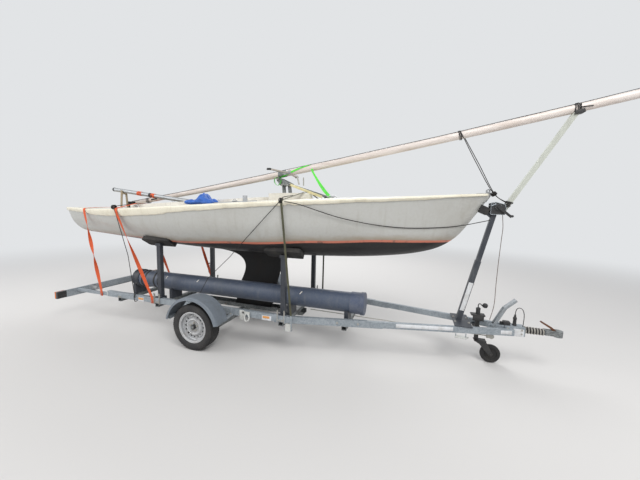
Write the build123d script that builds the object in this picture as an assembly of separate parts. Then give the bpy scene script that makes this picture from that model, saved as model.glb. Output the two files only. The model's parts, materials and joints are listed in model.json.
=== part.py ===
from build123d import *
import math
import os

# A 6.35 m open fin-keel boat standing on its single-axle road trailer. All lengths are millimetres.
# While it is built, X runs forward from the wheel axle, Y to port and Z up from the ground. At the end
# every piece is moved so that the origin lies on the ground, at the middle of the plan.

# Wheels and axle
tyre_diameter = 583
tyre_width = 175
bead_seat_diameter = 354
rim_flange_diameter = 392
wheel_centre_y = 902
vent_hole_count = 16
vent_hole_diameter = 24
vent_ring_diameter = 262
stub_diameter = 40
bearing_clearance = 0.05
running_gap = 6
axle_height = tyre_diameter / 2
axle_beam_size = 70
axle_beam_x = 150
axle_beam_half_length = 700

# Frame rails and cross members
rail_height = 80
rail_width = 50
rail_wall = 4
rail_top = 470
rail_y = 625
rail_aft_x = -1850
bend_x = 1150
rail_cut_top_x = 2050
rail_cut_bottom_x = 2250
slide_clearance = 0.5
arm_aft_x = 1700
coupling_aft_x = 3600
arm_end_y = 92
cross_member_size = 50
frame_stations = (-1600, -890, 1040, 1800)
rail_bottom = rail_top - rail_height
cross_bottom = rail_bottom - cross_member_size

# Keel tray
tray_aft_x = -960
tray_front_x = 1110
tray_width = 170
tray_thickness = 6
keel_pad_thickness = 14
keel_foot = 305

# Hull, deck and cockpit
transom_top_x = -3090
transom_bottom_x = -2960
deck_crown_share = 0.05
deck_edge = 30
cockpit_aft_x = -1750
cockpit_front_x = 680
cockpit_aft_half = 330
cockpit_front_half = 520
cockpit_corner_radius = 120
sole_height = 1400
tub_wall = 12
coaming_height = 45
coaming_width = 24
breakwater_height = 85
strake_depth = 95
strake_thickness = 22

# Spars
mast_length = 8000
mast_tail_x = -2100
mast_depth = 88
mast_width = 68
mast_tail_share = 0.72
boom_diameter = 62
boom_wall = 3
boom_y = -140

# Storage pipe
pipe_diameter = 250
pipe_wall = 7
pipe_y = -300
pipe_axis_z = 630
pipe_aft_x = -1560
pipe_front_x = 1950

# Supports
post_size = 60
post_wall = 4
post_y = 570
rear_post_x = -890
front_post_x = 1040
pad_length = 480
pad_width = 190
pad_thickness = 55
pad_corner = 36

pieces = {}


# Stations of the hull, bow to stern. Columns: x, half beam at the sheer, sheer height, half width and
# height of the bilge corner before it is rounded, height of the keel line.
hull_stations = (
    (3338, 16, 2001, 12, 1976, 1952),
    (3196, 108, 1990, 44, 1794, 1717),
    (3016, 208, 1977, 96, 1572, 1464),
    (2754, 346, 1956, 218, 1408, 1303),
    (2250, 545, 1922, 420, 1305, 1200),
    (1500, 768, 1882, 690, 1270, 1142),
    (500, 862, 1828, 805, 1268, 1120),
    (-700, 815, 1760, 735, 1290, 1148),
    (-2000, 618, 1704, 525, 1330, 1224),
    (-3200, 330, 1718, 250, 1374, 1286),
)
bilge_round_share = 0.62
keel_round_share = 0.3

# Sections of the keel fin, foot to root. Columns: height, trailing edge x, leading edge x, thickness.
fin_sections = (
    (keel_foot, -48, 575, 98),
    (500, 18, 628, 94),
    (690, 82, 676, 82),
    (900, 150, 735, 72),
    (1010, 108, 768, 70),
    (1100, -60, 802, 74),
    (1200, -420, 860, 84),
)


def side_prism(points, half_width):
    """A block with its outline in the XZ plane, spread evenly to both sides."""
    return extrude(Plane.XZ * make_face(Polyline(*points, close=True)), amount=half_width, both=True)


def plan_prism(points, low, high, radius=0.0):
    """A block with its outline in plan, from one height to another."""
    outline = make_face(Polyline(*points, close=True))
    if radius:
        outline = fillet(outline.vertices(), radius)
    return Pos(0, 0, low) * extrude(outline, amount=high - low)


def band(points, width):
    """The outline of a mitred strip along a plan polyline."""
    left, right = [], []
    for i, (x, y) in enumerate(points):
        before = points[max(i - 1, 0)]
        after = points[min(i + 1, len(points) - 1)]
        a = math.atan2(y - before[1], x - before[0]) if i else None
        b = math.atan2(after[1] - y, after[0] - x) if i < len(points) - 1 else None
        a = b if a is None else a
        b = a if b is None else b
        mean, half_turn = (a + b) / 2, (b - a) / 2
        reach = width / 2 / math.cos(half_turn)
        dx, dy = -math.sin(mean) * reach, math.cos(mean) * reach
        left.append((x + dx, y + dy))
        right.append((x - dx, y - dy))
    return left + right[::-1]


def beam(start, end, width, depth, wall=0.0, across=(0, 1, 0)):
    """A straight bar or box tube between two points; width lies along `across`."""
    way = Vector(*end) - Vector(*start)
    plane = Plane(origin=start, x_dir=across, z_dir=way)
    section = plane * Rectangle(width, depth)
    if wall:
        section -= plane * Rectangle(width - 2 * wall, depth - 2 * wall)
    return extrude(section, amount=way.length)


def rod(start, end, radius, bore=0.0):
    """A straight round bar or tube between two points."""
    way = Vector(*end) - Vector(*start)
    plane = Plane(origin=start, z_dir=way)
    section = plane * Circle(radius)
    if bore:
        section -= plane * Circle(bore)
    return extrude(section, amount=way.length)


def turned(points, centre, along="y"):
    """A ring or disc turned about an axis; points are (distance along the axis, radius)."""
    if along == "y":
        profile = [(r, s) for s, r in points]
        face = Plane.XY * make_face(Polyline(*profile, close=True))
        solid = revolve(face, Axis.Y)
    elif along == "z":
        face = Plane.XZ * make_face(Polyline(*[(r, s) for s, r in points], close=True))
        solid = revolve(face, Axis.Z)
    else:
        face = Plane.XY * make_face(Polyline(*points, close=True))
        solid = revolve(face, Axis.X)
    return Pos(*centre) * solid


def hull_section(x, half_beam, sheer, corner_y, corner_z, keel_z, grow=0.0):
    """One station: flat floor, rounded bilge, straight topside and a crowned deck."""
    crown = half_beam * deck_crown_share
    half_beam, corner_y = half_beam + grow, corner_y + grow
    floor_angle = math.atan2(corner_z - keel_z, corner_y)
    side_angle = math.atan2(sheer - corner_z, half_beam - corner_y)
    floor = math.hypot(corner_y, corner_z - keel_z)
    side = math.hypot(half_beam - corner_y, sheer - corner_z)
    bilge_radius = bilge_round_share * min(floor, side) / math.tan((side_angle - floor_angle) / 2)
    keel_radius = keel_round_share * floor / math.tan(floor_angle)
    skin = FilletPolyline(
        (-half_beam, sheer), (-corner_y, corner_z), (0, keel_z), (corner_y, corner_z), (half_beam, sheer),
        radius=[bilge_radius, keel_radius, bilge_radius],
    )
    deck = ThreePointArc((half_beam, sheer), (0, sheer + crown), (-half_beam, sheer))
    return Plane.YZ.offset(x) * make_face([*skin.edges(), deck])


def interpolate(x, column):
    """A station value at x, on a smooth curve through the table's rows."""
    rows = hull_stations
    i = next(i for i in range(len(rows) - 1) if rows[i + 1][0] <= x)
    slopes = []
    for k in (i, i + 1):
        ahead, behind = rows[max(k - 1, 0)], rows[min(k + 1, len(rows) - 1)]
        slopes.append((behind[column] - ahead[column]) / (behind[0] - ahead[0]))
    step = rows[i + 1][0] - rows[i][0]
    t = (x - rows[i][0]) / step
    return (
        (2 * t**3 - 3 * t**2 + 1) * rows[i][column] + (t**3 - 2 * t**2 + t) * step * slopes[0]
        + (3 * t**2 - 2 * t**3) * rows[i + 1][column] + (t**3 - t**2) * step * slopes[1]
    )


def hull_body(grow=0.0):
    """The whole boat body, deck included, cut off at the raked transom."""
    places = [row[0] for row in hull_stations]
    places = sorted(places + [(a + b) / 2 for a, b in zip(places, places[1:])])
    sections = [hull_section(x, *[interpolate(x, column) for column in range(1, 6)], grow=grow) for x in places]
    body = loft(sections, ruled=True)
    rake = (transom_top_x - transom_bottom_x) / (1720 - 1300)
    aft = side_prism(
        [(transom_top_x + rake * 480, 2200), (transom_bottom_x - rake * 300, 1000), (-4000, 1000), (-4000, 2200)],
        1200,
    )
    return body - aft


def sheer_cut(drop, top=2400):
    """Everything above a line that runs a fixed distance below the sheer."""
    line = [(station[0], station[2] - drop) for station in hull_stations]
    first, last = line[0], line[-1]
    return side_prism([(3600, first[1]), *line, (-3600, last[1]), (-3600, top), (3600, top)], 1300)


def mast_height(x):
    """Height of the mast's axis, which sags a little between its two supports."""
    low_x, low_z, high_x, high_z, sag = -1886, 1831, 4085, 2880, 38
    share = (x - low_x) / (high_x - low_x)
    return low_z + share * (high_z - low_z) - 4 * sag * share * (1 - share)


def hull_underside(x, y):
    """Height of the hull's skin above a point of the plan."""
    probe = Pos(x, y, 1400) * Box(2, 2, 900)
    return (probe & body).bounding_box().min.Z


# Boat
body = hull_body()
cockpit_outline = [
    (cockpit_aft_x, -cockpit_aft_half), (cockpit_front_x, -cockpit_front_half),
    (cockpit_front_x, cockpit_front_half), (cockpit_aft_x, cockpit_aft_half),
]


def grown(outline, amount):
    """The cockpit outline moved outwards, or inwards for a negative amount."""
    middle_x = (cockpit_aft_x + cockpit_front_x) / 2
    return [(x + amount * math.copysign(1, x - middle_x), y + amount * math.copysign(1, y)) for x, y in outline]


well = plan_prism(cockpit_outline, sole_height, 2300, cockpit_corner_radius)
inner_well = plan_prism(
    grown(cockpit_outline, -tub_wall), sole_height + tub_wall, 2300, cockpit_corner_radius - tub_wall
)
above_deck_line = sheer_cut(deck_edge)
pieces["hull"] = body - above_deck_line - well
pieces["deck"] = (body & above_deck_line) - well
pieces["cockpit_tub"] = (body & well) - inner_well

coaming_ring = plan_prism(
    grown(cockpit_outline, coaming_width - tub_wall), 1500, 2300, cockpit_corner_radius + coaming_width - tub_wall
) - inner_well
low_coaming = (Pos(0, 0, coaming_height) * body & coaming_ring) - body
breakwater_line = [(870, -640), (1180, 0), (870, 640)]
breakwater = plan_prism(band(breakwater_line, coaming_width), 1500, 2300)
high_breakwater = (Pos(0, 0, breakwater_height) * body & breakwater) - body
pieces["cockpit_coaming"] = Compound([*low_coaming.solids(), *high_breakwater.solids()])

strake_zone = sheer_cut(strake_depth) - sheer_cut(2)
pieces["gunwale_strake"] = (hull_body(strake_thickness) & strake_zone) - body


def fin_section(z, trail, lead, thickness):
    """A fin slice: thin tail, full middle and a round nose."""
    chord = lead - trail
    shoulder = (lead - 0.36 * chord, thickness / 2)
    cheek = (lead - 0.05 * chord, 0.3 * thickness)
    back = [Line((trail, -3), (trail, 3))]
    upper = ThreePointArc((trail, 3), (trail + 0.33 * chord, thickness * 0.4), shoulder)
    upper_front = ThreePointArc(shoulder, (lead - 0.16 * chord, thickness * 0.44), cheek)
    nose = ThreePointArc(cheek, (lead, 0), (cheek[0], -cheek[1]))
    lower = [mirror(edge, Plane.XZ) for edge in (upper, upper_front)]
    return Pos(0, 0, z) * make_face([*back, upper, upper_front, nose, *lower])


fin = loft([fin_section(*row) for row in fin_sections])
pieces["keel_fin"] = fin - body

# Stem plate with its eye, transom gudgeons, chainplates
stem_plate = (Pos(10, 0, 6) * body & plan_prism([(3203, -40), (3383, -40), (3383, 40), (3203, 40)], 1900, 2100)) - body
stem_ear = side_prism([(3298, 2004), (3345, 2006), (3345, 2042), (3321, 2054), (3298, 2038)], 4)
stem_eye = rod((3323, -10, 2030), (3323, 10, 2030), 8)
pieces["stem_fitting"] = stem_plate + (stem_ear - body) - stem_eye - pieces["gunwale_strake"]

gudgeon_heights = (1400, 1600)
gudgeon_bore = 5
gudgeon_reach = 34
gudgeon_thickness = 8
gudgeon_width = 28


def transom_x(z):
    """The transom's face on the centreline."""
    return transom_bottom_x + (z - 1300) * (transom_top_x - transom_bottom_x) / (1720 - 1300)


transom_rake = math.degrees(math.atan2(transom_top_x - transom_bottom_x, 1720 - 1300))
pintle_x = transom_x(gudgeon_heights[1]) - gudgeon_reach
gudgeons = []
for z in gudgeon_heights:
    plate = Pos(transom_x(z), 0, z) * Rot(0, transom_rake, 0) * Pos(-3, 0, 0) * Box(6, 44, 54)
    lug_length = transom_x(z) - 5 - pintle_x
    lug = Pos(pintle_x + lug_length / 2, 0, z) * Box(lug_length, gudgeon_width, gudgeon_thickness)
    lug += Pos(pintle_x, 0, z) * Cylinder(gudgeon_width / 2, gudgeon_thickness)
    lug -= Pos(pintle_x, 0, z) * Cylinder(gudgeon_bore, gudgeon_thickness + 4)
    gudgeons.append((plate + lug) - body)
pieces["rudder_gudgeons"] = Compound(gudgeons)

chainplate_x = 640
chainplates = []
for side in (-1, 1):
    y = side * (interpolate(chainplate_x, 1) - 60)
    z = interpolate(chainplate_x, 2)
    plate = Pos(chainplate_x, y, z + 25) * Box(60, 5, 110)
    hole = rod((chainplate_x, y - 10, z + 66), (chainplate_x, y + 10, z + 66), 5)
    chainplates.append((plate - body) - hole)
pieces["chainplates"] = Compound(chainplates)

# Mast, lashed head aft for the road, with its spreaders. Columns: x, share of the full section.
mast_slope = math.atan2(mast_height(4085) - mast_height(-1886), 4085 + 1886)
mast_foot_x = mast_tail_x + mast_length * math.cos(mast_slope)
mast_stations = ((mast_tail_x, mast_tail_share), (-1300, 0.82), (-500, 0.9), (400, 0.97), (1300, 1.0), (2300, 1.0),
                 (3300, 1.0), (4085, 1.0), (mast_foot_x, 1.0))


def mast_section(x, share):
    """An oval slice of the mast, square to its axis."""
    slope = (mast_height(x + 10) - mast_height(x - 10)) / 20
    plane = Plane(origin=(x, 0, mast_height(x)), x_dir=(0, 1, 0), z_dir=(1, 0, slope))
    return plane * Ellipse(mast_width / 2 * share, mast_depth / 2 * share)


pieces["mast"] = loft([mast_section(*row) for row in mast_stations], ruled=True)

spreader_x = 830
spreader_length = 420
spreader_z = mast_height(spreader_x)
spreaders = []
for side in (-1, 1):
    root = (spreader_x, side * (mast_width / 2 - 6), spreader_z)
    tip = (spreader_x - 60, side * (mast_width / 2 + spreader_length), spreader_z - 6)
    arm = beam(root, tip, 42, 16, across=(1, 0, 0)) - pieces["mast"]
    spreaders.append(arm)
pieces["spreaders"] = Compound(spreaders)

# Boom, aft end on a crutch, front end on the traveller beam
boom_aft_x, boom_front_x = -2270, 60
boom_aft_z, boom_slope = 2028, -0.1155


def boom_height(x):
    """Height of the boom's axis."""
    return boom_aft_z + (x - boom_aft_x) * boom_slope


boom_start = (boom_aft_x, boom_y, boom_aft_z)
boom_end = (boom_front_x, boom_y, boom_height(boom_front_x))
boom_way = (Vector(*boom_end) - Vector(*boom_start)).normalized()


def along_boom(distance):
    """A point on the boom's axis, measured from its aft end."""
    return tuple(Vector(*boom_start) + boom_way * distance)


boom_length = (Vector(*boom_end) - Vector(*boom_start)).length
boom_plug = 30
pieces["boom"] = (
    rod(boom_start, boom_end, boom_diameter / 2, boom_diameter / 2 - boom_wall)
    + rod(boom_start, along_boom(boom_plug), boom_diameter / 2)
    + rod(along_boom(boom_length - boom_plug), boom_end, boom_diameter / 2)
)

traveller_x = -560
traveller_top = boom_height(traveller_x) - boom_diameter / 2 / math.cos(math.atan(boom_slope))
pieces["traveller_beam"] = (
    Pos(traveller_x, 0, traveller_top - 20) * Box(50, 2 * cockpit_front_half, 40) & inner_well
) - pieces["boom"]

crutch_x = -2060
crutch_half = 60
crutch_bottom = interpolate(crutch_x, 2)
crutch_fork_z = boom_height(crutch_x) - boom_diameter / 2 - 10
crutch_legs = [
    beam((crutch_x, boom_y + dy, crutch_bottom - 30), (crutch_x, boom_y + dy * 0.6, crutch_fork_z + 50), 22, 22)
    for dy in (-crutch_half, crutch_half)
]
crutch_bar = Pos(crutch_x, boom_y, crutch_fork_z) * Box(26, 1.6 * crutch_half, 26)
boom_space = rod(boom_start, boom_end, boom_diameter / 2)
pieces["boom_crutch"] = (crutch_legs[0] + crutch_legs[1] + crutch_bar) - boom_space - body

# Midship trestle: a roller under the mast between two cheeks, on two legs, with a brace forward to the deck
trestle_x = 815
trestle_foot = interpolate(trestle_x, 2) + 20
roller_x, roller_radius, roller_half, roller_gap = 705, 20, 76, 1
roller_z = mast_height(roller_x) - mast_depth / 2 - roller_radius - roller_gap
head_z, head_thickness = roller_z - 78, 28
cheek_y, cheek_plate = 62, 6
head_front = 885
head_back = 2 * trestle_x - head_front
trestle = rod((roller_x, -roller_half, roller_z), (roller_x, roller_half, roller_z), roller_radius)
cheek_outline = [
    (roller_x - 21, roller_z + 14), (roller_x + 23, roller_z + 14), (head_front, head_z + 22),
    (head_front, head_z - head_thickness / 2), (head_back, head_z - head_thickness / 2), (roller_x - 21, roller_z - 22),
]
for side in (-1, 1):
    trestle += Pos(0, side * cheek_y, 0) * side_prism(cheek_outline, cheek_plate / 2)
trestle += Pos(trestle_x, 0, head_z) * Box(head_front - head_back, 2 * cheek_y, head_thickness)
for foot_x, top_x in ((785, 765), (885, 850)):
    trestle += beam((foot_x, 0, trestle_foot - 30), (top_x, 0, head_z), 44, 36) - body
trestle += Pos(trestle_x + 20, 0, trestle_foot + 20) * Box(190, 130, 30) - body
brace_foot_x, brace_y, brace_radius = 1530, 40, 16
brace_foot_z = interpolate(brace_foot_x, 2) + 20
brace = rod((head_front - 15, brace_y, head_z), (brace_foot_x, brace_y, brace_foot_z), brace_radius)
pieces["mast_trestle"] = trestle + (brace - body)

chock_x = -2020
chock_top = mast_height(chock_x)
pieces["masthead_chock"] = (
    Pos(chock_x, 0, chock_top - 30) * Box(110, 120, 110) - pieces["mast"] - body
)

# Trailer frame
arm_slope = (arm_end_y - rail_y) / (coupling_aft_x - bend_x)


def arm_y(x):
    """Half width of the drawbar's centreline."""
    return rail_y + (x - bend_x) * arm_slope


def bent_tube(points, low, high, width, wall):
    """A box tube that follows a plan polyline."""
    outer = plan_prism(band(points, width), low, high)
    inner = plan_prism(band(points, width - 2 * wall), low + wall, high - wall)
    return outer - inner


drawbar_width = rail_width - 2 * rail_wall - 2 * slide_clearance
drawbar_height = rail_height - 2 * rail_wall - 2 * slide_clearance
drawbar_low = rail_bottom + rail_wall + slide_clearance
drawbar_top = drawbar_low + drawbar_height
drawbar_wall = 3.5
housing_half = 62
housing = Pos(coupling_aft_x + 100, 0, rail_bottom + 50) * Box(200, 2 * housing_half, 100)

rails, arms = [], []
for side in (-1, 1):
    line = [(rail_aft_x, side * rail_y), (bend_x, side * rail_y), (2400, side * arm_y(2400))]
    rail = bent_tube(line, rail_bottom, rail_top, rail_width, rail_wall)
    cut = side_prism(  # the slanted front end
        [(rail_cut_top_x, rail_top + 1), (rail_cut_bottom_x, rail_bottom - 1), (2600, rail_bottom - 1),
         (2600, rail_top + 1)], 900)
    rails.append(rail - cut)

    arm_line = [(arm_aft_x, side * arm_y(arm_aft_x)), (coupling_aft_x + 80, side * arm_y(coupling_aft_x + 80))]
    arm = bent_tube(arm_line, drawbar_low, drawbar_top, drawbar_width, drawbar_wall)
    arms.append(arm - housing)
pieces["side_rails"] = Compound([solid for rail in rails for solid in rail.solids()])
pieces["drawbar_arms"] = Compound([solid for arm in arms for solid in arm.solids()])

members = []
for x in frame_stations:
    half = rail_y + rail_width / 2 if x < bend_x else arm_y(x) + rail_width / 2
    members.append(
        beam((x, -half, cross_bottom + cross_member_size / 2), (x, half, cross_bottom + cross_member_size / 2),
             60, cross_member_size, 4, across=(1, 0, 0)))
pieces["cross_members"] = Compound(members)

tray_bottom = keel_foot - keel_pad_thickness - tray_thickness
tray = Pos((tray_aft_x + tray_front_x) / 2, 0, (tray_bottom + cross_bottom) / 2) * (
    Box(tray_front_x - tray_aft_x, tray_width, cross_bottom - tray_bottom)
    - Pos(0, 0, tray_thickness) * Box(
        tray_front_x - tray_aft_x + 10, tray_width - 2 * tray_thickness, cross_bottom - tray_bottom)
)
pieces["keel_tray"] = tray
pieces["keel_pad"] = Pos(270, 0, keel_foot - keel_pad_thickness / 2) * Box(800, 140, keel_pad_thickness)

# Axle: beam below the tray, brackets up to the rails, trailing arms and stubs
axle_top = tray_bottom
axle_centre_z = axle_top - axle_beam_size / 2
axle = beam((axle_beam_x, -axle_beam_half_length, axle_centre_z), (axle_beam_x, axle_beam_half_length, axle_centre_z),
            axle_beam_size, axle_beam_size, 5, across=(1, 0, 0))
arm_thickness = 26
backplate_y = axle_beam_half_length + arm_thickness + 22
for side in (-1, 1):
    inner = side * axle_beam_half_length
    outer = side * (axle_beam_half_length + arm_thickness)
    swing = Plane.XZ * make_hull([
        *(Pos(axle_beam_x, axle_centre_z) * Circle(44)).edges(),
        *(Pos(0, axle_height) * Circle(40)).edges(),
    ])
    swing = extrude(swing, amount=arm_thickness / 2, both=True)
    axle += Pos(0, (inner + outer) / 2, 0) * swing
    axle += rod((0, outer, axle_height), (0, side * backplate_y, axle_height), 34)
    axle += rod((0, side * backplate_y, axle_height), (0, side * (backplate_y + 5), axle_height), 116)
    axle += rod((0, side * backplate_y, axle_height), (0, side * 918, axle_height), stub_diameter / 2)
pieces["axle"] = axle

brackets = []
for side in (-1, 1):
    for y in (rail_y - 21, rail_y + 21):
        plate = side_prism(
            [(axle_beam_x - 50, axle_top), (axle_beam_x + 50, axle_top), (axle_beam_x + 120, rail_bottom - 6),
             (axle_beam_x - 120, rail_bottom - 6)], 4)
        brackets.append(Pos(0, side * y, 0) * plate)
    brackets.append(Pos(axle_beam_x, side * rail_y, rail_bottom - 3) * Box(240, 60, 6))
pieces["axle_brackets"] = Compound([
    brackets[0] + brackets[1] + brackets[2], brackets[3] + brackets[4] + brackets[5]])

# Wheels: tyre, pressed steel disc wheel, hub with drum
bead_radius = bead_seat_diameter / 2
flange_radius = rim_flange_diameter / 2
half_width = tyre_width / 2
half_seat = 66


def tyre_ring(centre_y):
    """A radial tyre: rounded shoulders, bulged walls, beads on the rim's seats."""
    r = tyre_diameter / 2
    profile = make_face([
        Line((bead_radius, -half_seat + 5), (bead_radius, half_seat - 5)),
        Line((bead_radius, half_seat - 5), (flange_radius - 6, half_seat - 1.5)),
        Line((flange_radius - 6, half_seat - 1.5), (flange_radius + 2.5, half_seat + 4)),
        ThreePointArc((flange_radius + 2.5, half_seat + 4), ((r + flange_radius) / 2 - 6, half_width),
                      (r - 22, half_width - 6)),
        ThreePointArc((r - 22, half_width - 6), (r - 9, half_width - 12), (r - 3, half_width - 24)),
        ThreePointArc((r - 3, half_width - 24), (r, 0), (r - 3, -half_width + 24)),
        ThreePointArc((r - 3, -half_width + 24), (r - 9, -half_width + 12), (r - 22, -half_width + 6)),
        ThreePointArc((r - 22, -half_width + 6), ((r + flange_radius) / 2 - 6, -half_width),
                      (flange_radius + 2.5, -half_seat - 4)),
        Line((flange_radius + 2.5, -half_seat - 4), (flange_radius - 6, -half_seat + 1.5)),
        Line((flange_radius - 6, -half_seat + 1.5), (bead_radius, -half_seat + 5)),
    ])
    return Pos(0, centre_y, axle_height) * revolve(profile, Axis.Y)


disc_face = 32
hub_flange_radius = 68


def wheel_disc(centre_y, side):
    """Rim barrel and dished disc; distances run outboard from the tyre's middle plane."""
    barrel = [
        (-half_seat - 9, flange_radius - 2), (-half_seat - 9, flange_radius - 14), (-half_seat - 2, bead_radius - 5),
        (-20, bead_radius - 7), (-10, bead_radius - 26), (26, bead_radius - 26), (36, bead_radius - 7),
        (half_seat + 2, bead_radius - 5), (half_seat + 9, flange_radius - 14), (half_seat + 9, flange_radius - 2),
        (half_seat + 5, flange_radius), (half_seat, flange_radius - 6), (half_seat - 4, bead_radius - 0.5),
        (34, bead_radius - 2), (24, bead_radius - 20), (-8, bead_radius - 20), (-18, bead_radius - 2),
        (-half_seat + 4, bead_radius - 0.5), (-half_seat, flange_radius - 6), (-half_seat - 5, flange_radius),
    ]
    disc = [
        (14, bead_radius - 25), (20, bead_radius - 25), (34, 148), (30, 122), (44, 108), (50, 92), (40, 78),
        (disc_face + 5, 66), (disc_face + 5, 29), (disc_face, 29), (disc_face, 68), (34, 78), (44, 90),
        (39, 105), (25, 120), (28, 146),
    ]
    solid = turned([(side * s, r) for s, r in barrel], (0, centre_y, axle_height))
    plate = turned([(side * s, r) for s, r in disc], (0, centre_y, axle_height))
    step = 360 / vent_hole_count
    for i in range(vent_hole_count):
        a = math.radians(i * step)
        x, z = vent_ring_diameter / 2 * math.cos(a), vent_ring_diameter / 2 * math.sin(a)
        plate -= rod((x, centre_y + side * 10, axle_height + z), (x, centre_y + side * 60, axle_height + z),
                     vent_hole_diameter / 2)
    return solid + plate


def hub(centre_y, side):
    """Brake drum, wheel flange, nose and dust cap, bored for the stub."""
    drum_back = backplate_y + 5 + running_gap - wheel_centre_y
    profile = [
        (drum_back, stub_diameter / 2 + bearing_clearance), (drum_back, 112), (-40, 112), (-36, 100), (-34, 46),
        (disc_face - 10, 44), (disc_face - 9, hub_flange_radius), (disc_face, hub_flange_radius), (disc_face, 28.5),
        (disc_face + 14, 28), (disc_face + 40, 25), (disc_face + 48, 18), (disc_face + 48, 0), (22, 0),
        (22, stub_diameter / 2 + bearing_clearance),
    ]
    return turned([(side * s, r) for s, r in profile], (0, centre_y, axle_height))


for name, side in (("right", -1), ("left", 1)):
    centre = side * wheel_centre_y
    pieces["tyre_" + name] = tyre_ring(centre)
    pieces["wheel_disc_" + name] = wheel_disc(centre, side)
    pieces["hub_" + name] = hub(centre, side)

# Mudguards
guard_radius = 385
guard_inner_y, guard_outer_y = 770, 1015
guard_start_angle = 12
guard_sweep = 156
guard_skin = 3
for name, side in (("right", -1), ("left", 1)):
    edge = [
        (guard_inner_y, guard_radius - 22), (guard_inner_y + 4, guard_radius - 6), (guard_inner_y + 22, guard_radius),
        (guard_outer_y - 22, guard_radius), (guard_outer_y - 4, guard_radius - 8), (guard_outer_y, guard_radius - 34),
        (guard_outer_y - 10, guard_radius - 34), (guard_outer_y - 10, guard_radius - 30),
        (guard_outer_y - guard_skin, guard_radius - 30),
        (guard_outer_y - 4 - guard_skin, guard_radius - 9), (guard_outer_y - 23, guard_radius - guard_skin),
        (guard_inner_y + 23, guard_radius - guard_skin), (guard_inner_y + 4 + guard_skin, guard_radius - 8),
        (guard_inner_y + guard_skin, guard_radius - 22),
    ]
    a = math.radians(guard_start_angle)
    plane = Plane(origin=(0, 0, axle_height), x_dir=(-math.cos(a), 0, math.sin(a)),
                  z_dir=(-math.sin(a), 0, -math.cos(a)))
    face = plane * make_face(Polyline(*[(r, side * y) for y, r in edge], close=True))
    pieces["mudguard_" + name] = revolve(face, Axis((0, 0, axle_height), (0, 1, 0)), revolution_arc=guard_sweep)

guard_arm_x = 352
guard_arm_z = 372
guard_arms = []
for side in (-1, 1):
    for way in (-1, 1):
        arm = beam((way * guard_arm_x, side * (rail_y + rail_width / 2), guard_arm_z + 33),
                   (way * guard_arm_x, side * (guard_outer_y - 40), guard_arm_z), 34, 30, 3, across=(1, 0, 0))
        name = "right" if side < 0 else "left"
        guard_arms.append(arm - pieces["mudguard_" + name] - pieces["side_rails"])
pieces["mudguard_arms"] = Compound(guard_arms)

# Support posts with their clamp plates, and swivel pads under the bilges
pad_gap = 34
posts, pads = [], []
for x in (rear_post_x, front_post_x):
    for side in (-1, 1):
        y = side * post_y
        low = hull_underside(x, y)
        slope = math.degrees(math.atan2(hull_underside(x, y + 60) - hull_underside(x, y - 60), 120))
        top = low - pad_thickness - pad_gap
        post = beam((x, y, rail_bottom), (x, y, top), post_size, post_size, post_wall)
        ears = Pos(x, y, top + 20) * Box(90, 70, 40)
        clamp = Pos(x, side * (post_y - post_size / 2 - 4), rail_bottom + 45) * Box(120, 8, 90)
        bridge = Pos(x, side * rail_y, rail_top + 4) * Box(120, rail_width, 8)
        seat = Box(pad_length, pad_width, pad_thickness)
        seat = fillet(seat.edges().filter_by(Axis.Z), pad_corner)
        seat = Pos(x, y, low - pad_thickness / 2 + 4) * Rot(slope, 0, 0) * seat
        pads.append(seat - body)
        posts.append((post + ears + clamp + bridge) - seat)
pieces["support_posts"] = Compound([solid for part in posts for solid in part.solids()])
pieces["swivel_pads"] = Compound([solid for part in pads for solid in part.solids()])

# Storage pipe on its saddles
pipe_start = (pipe_aft_x, pipe_y, pipe_axis_z)
pipe_end = (pipe_front_x, pipe_y, pipe_axis_z)
pieces["storage_pipe"] = rod(pipe_start, pipe_end, pipe_diameter / 2, pipe_diameter / 2 - pipe_wall)


def pipe_turning(points):
    """A ring on the pipe's axis; points are (x, radius)."""
    return turned(points, (0, pipe_y, pipe_axis_z), along="x")


r = pipe_diameter / 2
aft_cap = pipe_turning([
    (pipe_aft_x + 70, r), (pipe_aft_x + 70, r + 10), (pipe_aft_x + 50, r + 14), (pipe_aft_x + 36, r + 14),
    (pipe_aft_x + 30, r + 8), (pipe_aft_x - 20, r + 8), (pipe_aft_x - 26, r + 14), (pipe_aft_x - 44, r + 14),
    (pipe_aft_x - 50, r + 4), (pipe_aft_x - 66, r - 10), (pipe_aft_x - 66, 0), (pipe_aft_x - 4, 0),
    (pipe_aft_x - 4, r - 4), (pipe_aft_x, r - 4), (pipe_aft_x, r)])
front_cap = pipe_turning([
    (pipe_front_x - 110, r), (pipe_front_x - 110, r + 9), (pipe_front_x + 10, r + 9), (pipe_front_x + 14, r + 16),
    (pipe_front_x + 60, r + 16), (pipe_front_x + 66, r + 10), (pipe_front_x + 66, 0), (pipe_front_x + 4, 0),
    (pipe_front_x + 4, r - 4), (pipe_front_x, r - 4), (pipe_front_x, r)])

pieces["pipe_caps"] = Compound([*aft_cap.solids(), *front_cap.solids()])

saddles = []
for x in frame_stations:
    saddle = Pos(x, pipe_y, (rail_bottom + pipe_axis_z - 90) / 2) * Box(50, 200, pipe_axis_z - 90 - rail_bottom)
    pipe_space = rod((pipe_aft_x - 100, pipe_y, pipe_axis_z), (pipe_front_x + 100, pipe_y, pipe_axis_z), r)
    if x < pipe_aft_x + 70:
        pipe_space = pipe_space + aft_cap
    saddles.append(saddle - pipe_space)
pieces["pipe_saddles"] = Compound(saddles)

# Winch post on its cross plate, bow stop, winch, mast arm and cradle
plate_thickness = 12
plate_top = drawbar_top + plate_thickness
post_base = (3108, 0, plate_top - 10)
post_top = (3413, 0, 1832)
post_way = Vector(*post_top) - Vector(*post_base)


def along_post(share):
    """A point on the winch post's axis."""
    return tuple(Vector(*post_base) + post_way * share)


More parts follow.
